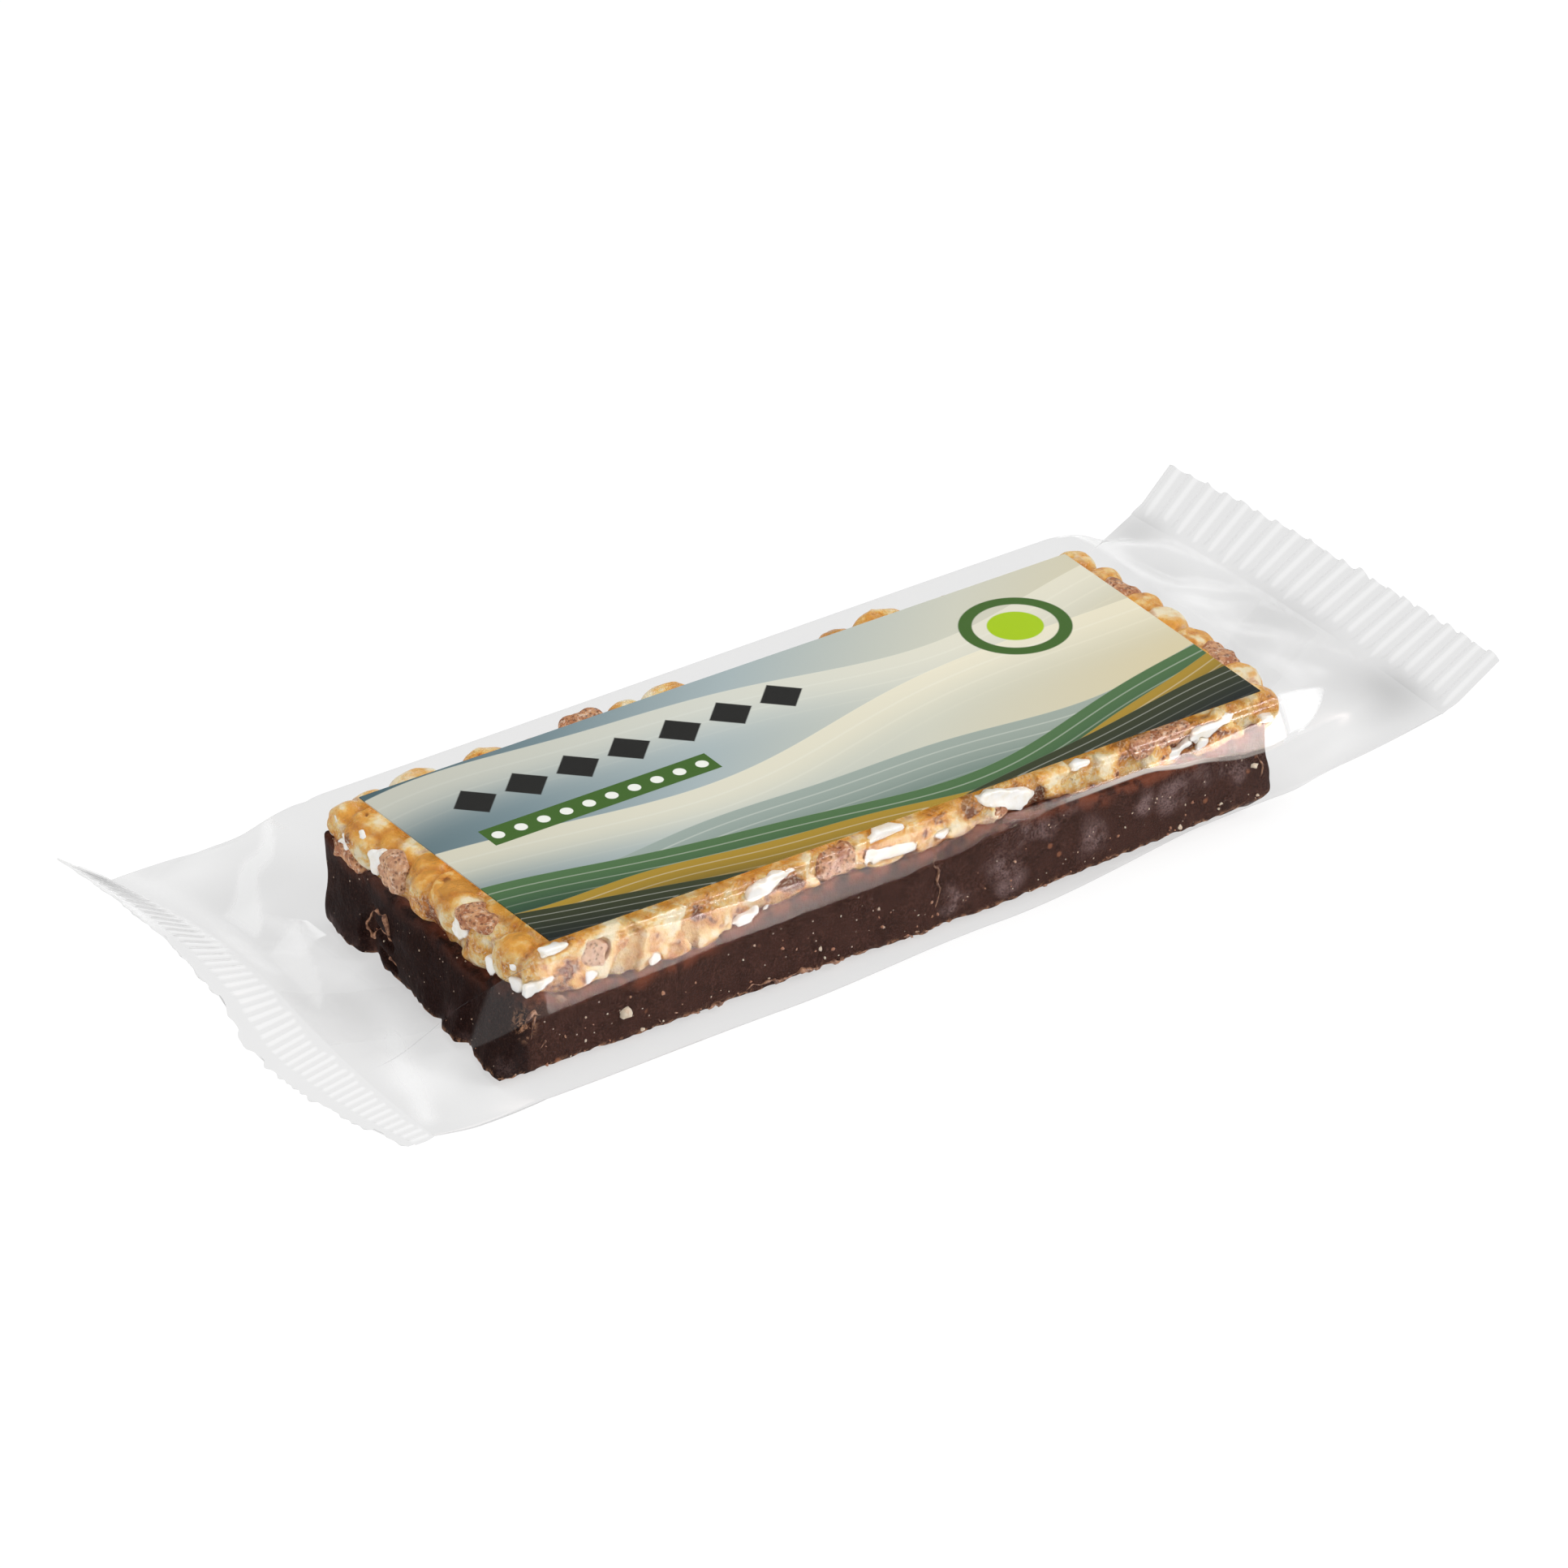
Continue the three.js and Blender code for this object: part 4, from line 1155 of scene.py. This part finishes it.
def filmSheet(rowAt, side):
    # rows of points from the left seal to the right one
    left, right = film["ends"]
    rounding = film["endRoundingLength"]
    stations = np.concatenate([np.linspace(left, left + rounding, 4)[:-1],
                               np.linspace(left + rounding, right - rounding, 60),
                               np.linspace(right - rounding, right, 4)[1:]])
    barRows = [rowAt(float(x)) for x in stations]
    leftEnd = endRows(barRows[0], leftSeal, side, film["endCount"])
    rightEnd = endRows(barRows[-1], rightSeal, side, film["endCount"])
    return np.array(leftEnd[::-1] + barRows + rightEnd)


def endShares(rows):
    # 0 over the bar, rising to 1 at each seal: one column for the left end and one for the right
    along = np.arange(rows.shape[0], dtype=float)
    count = film["endCount"]
    return np.clip((count - along) / count, 0, 1), np.clip((along - (rows.shape[0] - 1 - count)) / count, 0, 1)


def wrinkleSheet(rows, side, seed):
    # soft unevenness in the loose film of the ends; its heights also give painted highlights on the crests and painted
    # shade in the hollows
    along = np.arange(rows.shape[0], dtype=float)
    across = 200 * lengthShares(rows[rows.shape[0] // 2])
    loose = sum(smoothStep(t, 0.15, 0.5) * smoothStep(t, 1.0, 0.75) for t in endShares(rows))
    loose = loose[:, None] * smoothStep(across, 0, 12) * smoothStep(across, across[-1], across[-1] - 12)
    axes = (along, across)
    sharp = 0.5 - 1.4 * np.abs(gridNoise(axes, (24, 13), seed + 2))
    height = loose * (noiseSum(axes, (1, (13, 17), seed), (0.4, (6, 9), seed + 1)) + sharp)
    rows = rows.copy()
    rows[:, :, 2] += film["wrinkle"] * height * (1 if side > 0 else 0.6)
    return rows, height


def shadeAcross(shares):
    return sum(strength * np.exp(-((shares - middle) / width) ** 2) for strength, middle, width in film["shadeBands"])


def shadeBeforeSeals(rows):
    # painted shade where the film is darker before the seals, most near the front of the right one
    left, right = (share[:, None] for share in endShares(rows))
    sealShadeAmount = np.exp(-((right - 0.88) / 0.24) ** 2) * (right > 0) * shadeAcross(lengthShares(rows[-1]))
    return np.clip(sealShadeAmount + 0.04 * np.exp(-((left - 0.9) / 0.2) ** 2) * (left > 0), 0, 1)


def creaseMarks(rows):
    # painted highlight along the film's front crease and at both ends, and how strongly its front mirrors
    column = np.arange(rows.shape[1], dtype=float)[None, :]
    firstBend, lastBend, corner = (sum(film["stretches"][:count]) for count in (1, 2, 5))
    left, right = (share[:, None] for share in endShares(rows))
    along = rows[:, (firstBend + lastBend) // 2, 0][:, None]
    line = follow(film["creaseHighlight"], along) * within(column, firstBend + 2, lastBend - 2, 2)
    upper = lastBend + (corner - lastBend) * np.clip(1 - left / film["facetReach"], 0, 1)
    facet = film["facetHighlight"] * smoothStep(along, -48.0, -49.5) * (left < film["facetReach"])
    facet = facet * smoothStep(column, firstBend + 2, firstBend + 4) * smoothStep(column, upper + 1, upper - 1)
    rise = lastBend + (corner - lastBend) * np.clip(right / film["tailReach"], 0, 1) ** 2
    tail = smoothStep(along, 48.9, 49.9) * smoothStep(right, film["tailReach"], 0.6 * film["tailReach"])
    tail = film["tailHighlight"] * tail * smoothStep(column, rise - 1, rise + 1)
    tail = tail * smoothStep(column, corner - 2, corner - 5)
    front = smoothStep(column, firstBend, firstBend + 4) * smoothStep(column, corner, corner - 5)
    return largest([line, facet, tail]), 1 + (follow(film["frontGleam"], along) - 1) * front


def highlightFolds(rows):
    # painted highlights: facets, a soft fold and a band before the left seal, lighter than the rest
    place = endShares(rows)[0][:, None]
    share = np.array([lengthShares(row) for row in rows])
    folds = []
    for sides, strength in film["highlightFacets"]:
        low, high = follow(sides, place)
        first, last = sides[0][0], sides[-1][0]
        inside = smoothStep(share, low - 0.006, low + 0.006) * smoothStep(share, high + 0.006, high - 0.006)
        folds.append(strength * inside * (place > first) * smoothStep(place, last + 0.03, last - 0.03))
    highlightStreak = np.exp(-((place - follow(film["highlightStreak"], share)) / 0.075) ** 2)
    folds.append(highlightStreak * smoothStep(share, 0.02, 0.06) * smoothStep(share, 0.36, 0.22))
    folds.append(0.5 * np.exp(-((place - 0.93) / 0.05) ** 2) * smoothStep(share, 0.5, 0.7) * (place > 0))
    return largest(folds)


def footShade(lower):
    # painted shadow of the bar: the sheet below is darker close to the foot of the bar's left end
    x, y = lower[:, :, 0], lower[:, :, 1]
    near = smoothStep(follow(bar["foot"], y) - x, 5.0, 0.3) * smoothStep(x, -47, -49)
    return 0.4 * near * smoothStep(y, 23, 19) * smoothStep(y, -20.5, -16)


def filmMaterial():
    look = Look("clearFilm")
    normal = look.bump(look.noise(110), 0.0005, 0.2)
    loose = look.attribute("loose")
    tint, crimpAndHighlightTint, shadeTint = ((film[key],) * 3 + (1,) for key in ("tint", "crimpAndHighlightTint", "shadeTint"))
    # lighter tint: the pressed crimp, and painted highlights
    tint = look.mix(look.attribute("crimpAndHighlight"), tint, crimpAndHighlightTint)
    # darker tint where shade is painted
    tint = look.mix(look.attribute("paintedShade"), tint, shadeTint)
    clear = look.signal("ShaderNodeBsdfTransparent", {"Color": tint})
    # painted highlight: white diffuse film in fixed places; over the bar it takes on some of the bar's warm colour
    highlightColor = look.mix(loose.remap(0.0, 0.04), (0.98, 0.91, 0.84, 1), (0.98, 0.98, 0.98, 1))
    highlightShader = look.signal("ShaderNodeBsdfDiffuse", {"Color": highlightColor})
    # the painted highlight mixes white diffuse film into the clear film
    body = look.mixShaders(look.attribute("paintedHighlight") * 0.4 + 0.001, clear, highlightShader)
    facing = look.signal("ShaderNodeLayerWeight", {"Blend": 0.5, "Normal": normal}, output="Facing")
    amount = look.math("POWER", facing, 5.0) * 0.3 + look.attribute("gleam") * film["shine"]
    return look.finish(look.mixShaders(amount, body, look.gloss(loose.remap(0.0, 1.0, 0.06, 0.3), Normal=normal)))


def filmPieceFrom(name, verts, faces, material, values=None):
    piece = meshFromArrays(name, verts, faces, material, values)
    # the film is seen and mirrors, and leaves the light on the bar and the floor as it is
    piece.visible_shadow = False
    piece.visible_diffuse = False
    return piece


def makeFilm(material):
    upper, upperHeight = wrinkleSheet(filmSheet(upperRow, 1), 1, 41)
    lower, lowerHeight = wrinkleSheet(filmSheet(lowerRow, -1), -1, 51)
    lower[:, :, 2] = np.maximum(lower[:, :, 2], 0.3)
    for side in (0, -1):
        lower[:, side] = upper[:, side] = (upper[:, side] + lower[:, side]) / 2
    rows, columns = upper.shape[:2]
    numbers = np.arange(rows * columns).reshape(rows, columns)
    under = numbers + rows * columns
    under[:, 0], under[:, -1] = numbers[:, 0], numbers[:, -1]  # the two films meet at the folds
    faces = np.concatenate([gridFaces(numbers), gridFaces(under)[:, ::-1]])
    verts = np.concatenate([upper.reshape(-1, 3), lower.reshape(-1, 3)])
    paintedHighlight, gleam = creaseMarks(upper)
    light, sealShadeAmount = highlightFolds(upper), shadeBeforeSeals(upper)
    heights = np.array([upperHeight, lowerHeight])
    loose = sum(smoothStep(t, 0.0, 0.25) for t in endShares(upper))
    loose = np.maximum(loose, 0.05 * smoothStep(upper[:, 0, 0], 48.4, 48.9))
    none = 0 * paintedHighlight
    # wrinkle hollows get painted shade and wrinkle crests a painted highlight
    paintedShade = [sealShadeAmount, 0.4 * sealShadeAmount + footShade(lower)] - 0.14 * np.minimum(heights + 0.1, 0)
    values = {"paintedHighlight": [np.maximum(paintedHighlight, 0.9 * light), none], "gleam": [gleam, none + 1],
              "crimpAndHighlight": np.clip(0.9 * heights + [light, none], 0, 1), "paintedShade": np.clip(paintedShade, 0, 1),
              "loose": np.tile(loose[:, None], (2, 1, columns))}
    values = {key: np.array(value).ravel() for key, value in values.items()}
    return filmPieceFrom("clearFilm", verts, faces, material, values), lower


def makeSeal(name, seal, material):
    # two crimped films, closed round the edges
    shares = np.linspace(0, 1, seal["flutes"] * seal["perFlute"] + 1)
    (upper, crimpAndHighlight), (lower, _) = (sealRows(seal, shares, side) for side in (1, -1))
    ragged = 0.25 * gridNoise((shares * 55,), 0.6, 81) * seal["ragged"]
    for sheet in (upper, lower):
        last = sheet[-1] - sheet[-2]
        sheet[-1] += last / np.linalg.norm(last, axis=1)[:, None] * ragged[:, None]
    verts, faces = closedSheets(upper, lower, openStart=True)
    if seal["up"] < 0:
        faces = faces[:, ::-1]
    out = np.linspace(film["throat"], 1, len(upper))[:, None]
    # painted shade at the root of the seal
    paintedShade = np.exp(-(out / 0.22) ** 2) * shadeAcross(shares) * seal["rootShade"]
    values = {"crimpAndHighlight": np.tile(crimpAndHighlight.ravel() + seal["paler"], 2),
              "paintedShade": np.tile(np.clip(paintedShade - seal["paler"], 0, 1).ravel(), 2),
              "loose": np.ones(len(verts)), "gleam": np.ones(len(verts))}
    return filmPieceFrom(name, verts, faces, material, values)


def makeSeam(lower):
    # the lengthwise seam, folded flat under the film
    y = np.linspace(-4.95, 4.95, 13)
    middle = []
    for row in lower[1:-1]:
        row = row[np.argsort(row[:, 1])]
        middle.append(np.column_stack([np.interp(y, row[:, 1], row[:, 0]), y, np.interp(y, row[:, 1], row[:, 2])]))
    verts, faces = closedSheets(np.array(middle) - (0, 0, 0.05), np.array(middle) - (0, 0, 0.27))
    return filmPieceFrom("filmSeam", verts, faces, seamMaterial())


def seamMaterial():
    # one more layer of the same film, seen only from close by
    look = Look("seamFilm")
    tint = look.mix(look.noise(300), (0.985, 0.985, 0.985, 1), (0.995, 0.995, 0.995, 1))
    clear = look.signal("ShaderNodeBsdfTransparent", {"Color": tint})
    return look.finish(look.mixShaders(film["shine"], clear, look.gloss(0.3)))


# Printed label

label = {
    "length": 95.0,
    "width": 37.3,
    "bottom": 15.97,
    "thickness": 0.18,
    "backdrop": [(0.0, (74, 98, 104)), (0.2, (118, 138, 144)), (0.42, (166, 180, 182)), (0.7, (206, 206, 190)),
                 (1.0, (214, 202, 166))],
    # waves from the back to the front: height of the line, its swing, number and phase, its middle dip,
    # the spacing of its fine lines, its colours at the line and at its foot, and how much it covers at both
    "waves": [
        {"level": 0.9, "swing": 0.09, "count": 0.9, "phase": 0.6, "dip": 0.0, "spacing": 0.07, "depth": 0.42,
         "light": (236, 232, 214), "dark": (190, 200, 200), "cover": (0.62, 0.0)},
        {"level": 0.6, "swing": 0.1, "count": 0.75, "phase": 3.3, "dip": 0.0, "spacing": 0.07, "depth": 0.4,
         "light": (240, 232, 206), "dark": (200, 206, 196), "cover": (0.7, 0.0)},
        {"level": 0.36, "swing": 0.05, "count": 1.2, "phase": 4.4, "dip": 0.1, "spacing": 0.05, "depth": 0.3,
         "light": (150, 164, 156), "dark": (104, 124, 116), "cover": (0.9, 1.0)},
        {"level": 0.3, "swing": 0.06, "count": 1.0, "phase": 0.9, "dip": 0.14, "spacing": 0.045, "depth": 0.24,
         "light": (78, 112, 70), "dark": (34, 62, 50), "cover": (1.0, 1.0)},
        {"level": 0.24, "swing": 0.05, "count": 1.35, "phase": 5.2, "dip": 0.2, "spacing": 0.04, "depth": 0.2,
         "light": (168, 136, 44), "dark": (92, 78, 26), "cover": (1.0, 1.0)},
        {"level": 0.16, "swing": 0.04, "count": 1.1, "phase": 2.2, "dip": 0.17, "spacing": 0.035, "depth": 0.2,
         "light": (52, 58, 34), "dark": (16, 24, 24), "cover": (1.0, 1.0)},
    ],
    # motifs, in mm from the label's middle
    "ring": {"middle": (33.5, 8.5), "radius": 6.4},
    "diamonds": {"start": (-41.0, 10.6), "count": 7, "pitch": 6.8},
    "band": {"start": (-41.0, 3.2), "length": 30.0, "half": 1.8, "pitch": 3.0, "dot": 0.75},
    "green": (64, 100, 38),
    "limeGreen": (165, 199, 17),
    "black": (29, 29, 27),
    "white": (238, 240, 232),
}


def labelMaterial():
    # waves of colour over a plain gradient, with a ring, a row of diamonds and a dotted band
    look = Look("printedLabel")
    x, y = (Signal(look, part) for part in look.node("ShaderNodeSeparateXYZ", {0: look.point}).outputs[:2])
    # u runs from 0 at the left end to 1 at the right, v from 0 at the front edge to 1 at the back
    u, v = x * (1 / (label["length"] * mm)) + 0.5, y * (1 / (label["width"] * mm)) + 0.5
    color = look.ramp(v * -0.3 + (u * 0.85 + 0.28), label["backdrop"])
    for wave in label["waves"]:
        color = waveBand(look, color, u, v, wave)
    color = ringShape(look, color, x, y, **label["ring"])
    color = diamondRow(look, color, x, y, **label["diamonds"])
    color = dottedBand(look, color, x, y, **label["band"])
    return look.solid(color, 0.4, {"Normal": look.bump(look.noise(260), 0.00003, 0.4), "Specular IOR Level": 0.2})


def waveBand(look, color, u, v, wave):
    # everything below a wavy line that is lower in the middle, with fine lines along it
    swing = look.math("SINE", u * (2 * math.pi * wave["count"]) + wave["phase"])
    second = look.math("SINE", u * (4.6 * math.pi * wave["count"]) + wave["phase"] * 2.1)
    height = (swing + second * 0.25) * wave["swing"] + look.math("SINE", u * math.pi) * -wave["dip"] + wave["level"]
    below = height - v
    fade = below.remap(0.0, wave["depth"])
    tint = look.mix(fade, wave["light"], wave["dark"])
    line = abs(look.math("FRACT", below * (1 / wave["spacing"])) - 0.5).remap(0.4, 0.47)
    lineColor = [0.55 * a + 0.45 * b for a, b in zip(screenColor(*wave["light"]), (1, 1, 0.9, 1))]
    tint = look.mix(line * fade.remap(0.0, 1.0, 0.5, 0.05), tint, lineColor)
    return look.mix(below.remap(0.0, 0.005) * fade.remap(0.0, 1.0, *wave["cover"]), color, tint)


def lengthOf(look, a, b):
    return look.math("SQRT", a * a + b * b)


def ringShape(look, color, x, y, middle, radius):
    away = lengthOf(look, x - middle[0] * mm, y - middle[1] * mm)
    ring = away.below(radius * mm) - away.below(radius * 0.76 * mm)
    return look.mix(away.below(radius * 0.5 * mm), look.mix(ring, color, label["green"]), label["limeGreen"])


def diamondRow(look, color, x, y, start, count, pitch):
    along = (x - start[0] * mm) * (1 / (pitch * mm))
    up = abs((y - start[1] * mm) * (1 / (pitch * mm)))
    diamond = (abs(look.math("FRACT", along) - 0.5) + up).below(0.42, 0.02)
    return look.mix(diamond * ((along > 0.0) * (along < float(count))), color, label["black"])


def dottedBand(look, color, x, y, start, length, half, pitch, dot):
    along, up = x - start[0] * mm, abs(y - start[1] * mm)
    inBand = (along > 0.0) * (along < length * mm)
    color = look.mix(inBand * up.below(half * mm, 0.00005), color, label["green"])
    cell = (look.math("FRACT", along * (1 / (pitch * mm))) - 0.5) * (pitch * mm)
    return look.mix(lengthOf(look, cell, up).below(dot * mm, 0.00005) * inBand, color, label["white"])


def makeLabel():
    xs, ys = (np.linspace(-label[key] / 2, label[key] / 2, count) for key, count in (("length", 97), ("width", 39)))
    waves = 0.02 * np.clip(gridNoise((xs, ys), (9, 9), 61), -1, 1)
    x, y = np.meshgrid(xs, ys, indexing="ij")
    sheets = [np.stack([x, y, label["bottom"] + height + waves], -1) for height in (label["thickness"], 0.02)]
    return meshFromArrays("printedLabel", *closedSheets(*sheets), labelMaterial(), smooth=False)


# Building

chocolatePiece = makeChocolate()
print("chocolate layer", len(chocolatePiece.data.polygons), "faces")
cerealPiece = makeCereal()
print("cereal layer", len(cerealPiece.data.polygons), "faces")
cocoaPiece = makeSetPieces("cocoaPuffs", cocoaPuffs, puffDistance, cocoaMaterial())
chipPiece = makeSetPieces("whiteChips", whiteChips, chipDistance, chipMaterial())
print("puffs and chips", len(cocoaPiece.data.polygons), len(chipPiece.data.polygons), "faces")
findSurface = surfaceFinder(chocolatePiece)
flakePiece = makeFlakes(findSurface)
crumbPiece = makeCrumbs(findSurface)
print("flakes and crumbs", len(flakePiece.data.polygons), len(crumbPiece.data.polygons), "faces")
filmLook = filmMaterial()
filmPiece, lowerSheet = makeFilm(filmLook)
leftPiece = makeSeal("fineSeal", leftSeal, filmLook)
rightPiece = makeSeal("curledSeal", rightSeal, filmLook)
seamPiece = makeSeam(lowerSheet)
filmCounts = [len(piece.data.polygons) for piece in (filmPiece, leftPiece, rightPiece)]
print("film and seals", *filmCounts, "faces")
labelPiece = makeLabel()
labelPiece.visible_shadow = False  # the print lies on the film, close over the cereal
print("label", len(labelPiece.data.polygons), "faces")

for piece, slot in ((chocolatePiece, "dark_chocolate"), (cerealPiece, "crisped_cereal"), (cocoaPiece, "cocoa_puff"),
                    (chipPiece, "white_chip"), (crumbPiece, "crisped_cereal"), (flakePiece, "dark_chocolate"),
                    (filmPiece, "clear_film"), (leftPiece, "clear_film"), (rightPiece, "clear_film"),
                    (seamPiece, "clear_film")):
    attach(piece, "root")
    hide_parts("clear_wrap")
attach(labelPiece, "root")
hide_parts("print_label")


# Floor, light and camera

studio = {
    "floorColor": (0.25, 0.25, 0.25, 1),
    "floorLight": (0.28, 0.28, 0.28, 1),
    "floorGlow": 0.79,
    "floorSize": 3000,
    "worldStrength": 0.33,
    # lights: place in mm, width and height in metres, power in watts
    "lights": {
        "keyLight": ((420, -560, 620), (0.30, 0.30), 4.2),
        "topLight": ((-60, 60, 900), (0.5, 0.5), 2.0),
        "sideLight": ((-620, -60, 260), (0.4, 0.3), 1.1),
        "backLight": ((-40, 740, 700), (0.22, 0.2), 1.2),
    },
    # cards that are only seen mirrored in the film
    "cards": {
        "backCard": ((-40, 740, 700), (0.16, 0.15), 0.6),
        "rimCard": ((500, 500, 90), (0.16, 0.1), 0.25),
    },
    "warmCards": {
        "frontCard": ((310, -533, 84), (0.19, 0.13), 3.5),
        "glintCard": ((312, -510, 190), (0.16, 0.09), 4.6),
    },
    "warm": (1.0, 0.84, 0.79),
    "lightTarget": (0, 0, 8),
    "azimuth": -34.7,
    "elevation": 30.3,
    "target": (0.58, 6.25, 7.77),
    "distance": 2.0,
    "frameWidth": 0.1736,
    "sensor": 36,
}


def makeFloor():
    look = Look("paleFloor")
    color = look.mix(look.noise(6, 2).remap(0.3, 0.7, 0, 0.2), studio["floorColor"], studio["floorLight"])
    material = look.solid(color, 0.9, {"Specular IOR Level": 0.1, "Emission Color": (1, 1, 1, 1),
                                       "Emission Strength": studio["floorGlow"]})
    size = studio["floorSize"]
    verts = np.array([(-size, -size, 0), (size, -size, 0), (size, size, 0), (-size, size, 0)])
    meshFromArrays("floor", verts, np.array([[0, 1, 2, 3]]), material, smooth=False)


def placeAt(thing, position, away):
    # away is the direction from the aim back to the thing
    thing.location = position
    thing.rotation_mode = "QUATERNION"
    thing.rotation_quaternion = (-away).to_track_quat("-Z", "Y")
    scene.collection.objects.link(thing)


def makeLight(name, position, size, power, mirrored, color):
    data = bpy.data.lights.new(name, "AREA")
    data.shape = "RECTANGLE"
    data.size, data.size_y = size
    data.energy = power
    data.color = color
    light = bpy.data.objects.new(name, data)
    place = Vector(position) * mm
    placeAt(light, place, place - Vector(studio["lightTarget"]) * mm)
    light.visible_camera = False
    light.visible_glossy = mirrored
    light.visible_diffuse = not mirrored


def makeStudio():
    world = bpy.data.worlds.new("softWorld")
    scene.world = world
    world.use_nodes = True
    background = world.node_tree.nodes["Background"]
    background.inputs["Color"].default_value = (1, 1, 1, 1)
    background.inputs["Strength"].default_value = studio["worldStrength"]
    white = (1, 1, 1)
    for group, mirrored, color in (("lights", False, white), ("cards", True, white),
                                   ("warmCards", True, studio["warm"])):
        for name, (position, size, power) in studio[group].items():
            makeLight(name, position, size, power, mirrored, color)


def makeCamera():
    data = bpy.data.cameras.new("camera")
    data.sensor_width = studio["sensor"]
    data.lens = studio["sensor"] * studio["distance"] / studio["frameWidth"]
    data.clip_start, data.clip_end = 0.05, 20
    camera = bpy.data.objects.new("camera", data)
    a, e = math.radians(studio["azimuth"]), math.radians(studio["elevation"])
    back = Vector((math.sin(a) * math.cos(e), -math.cos(a) * math.cos(e), math.sin(e)))
    placeAt(camera, Vector(studio["target"]) * mm + back * studio["distance"], back)
    scene.camera = camera


makeFloor()
makeStudio()
makeCamera()
print("floor, light and camera")
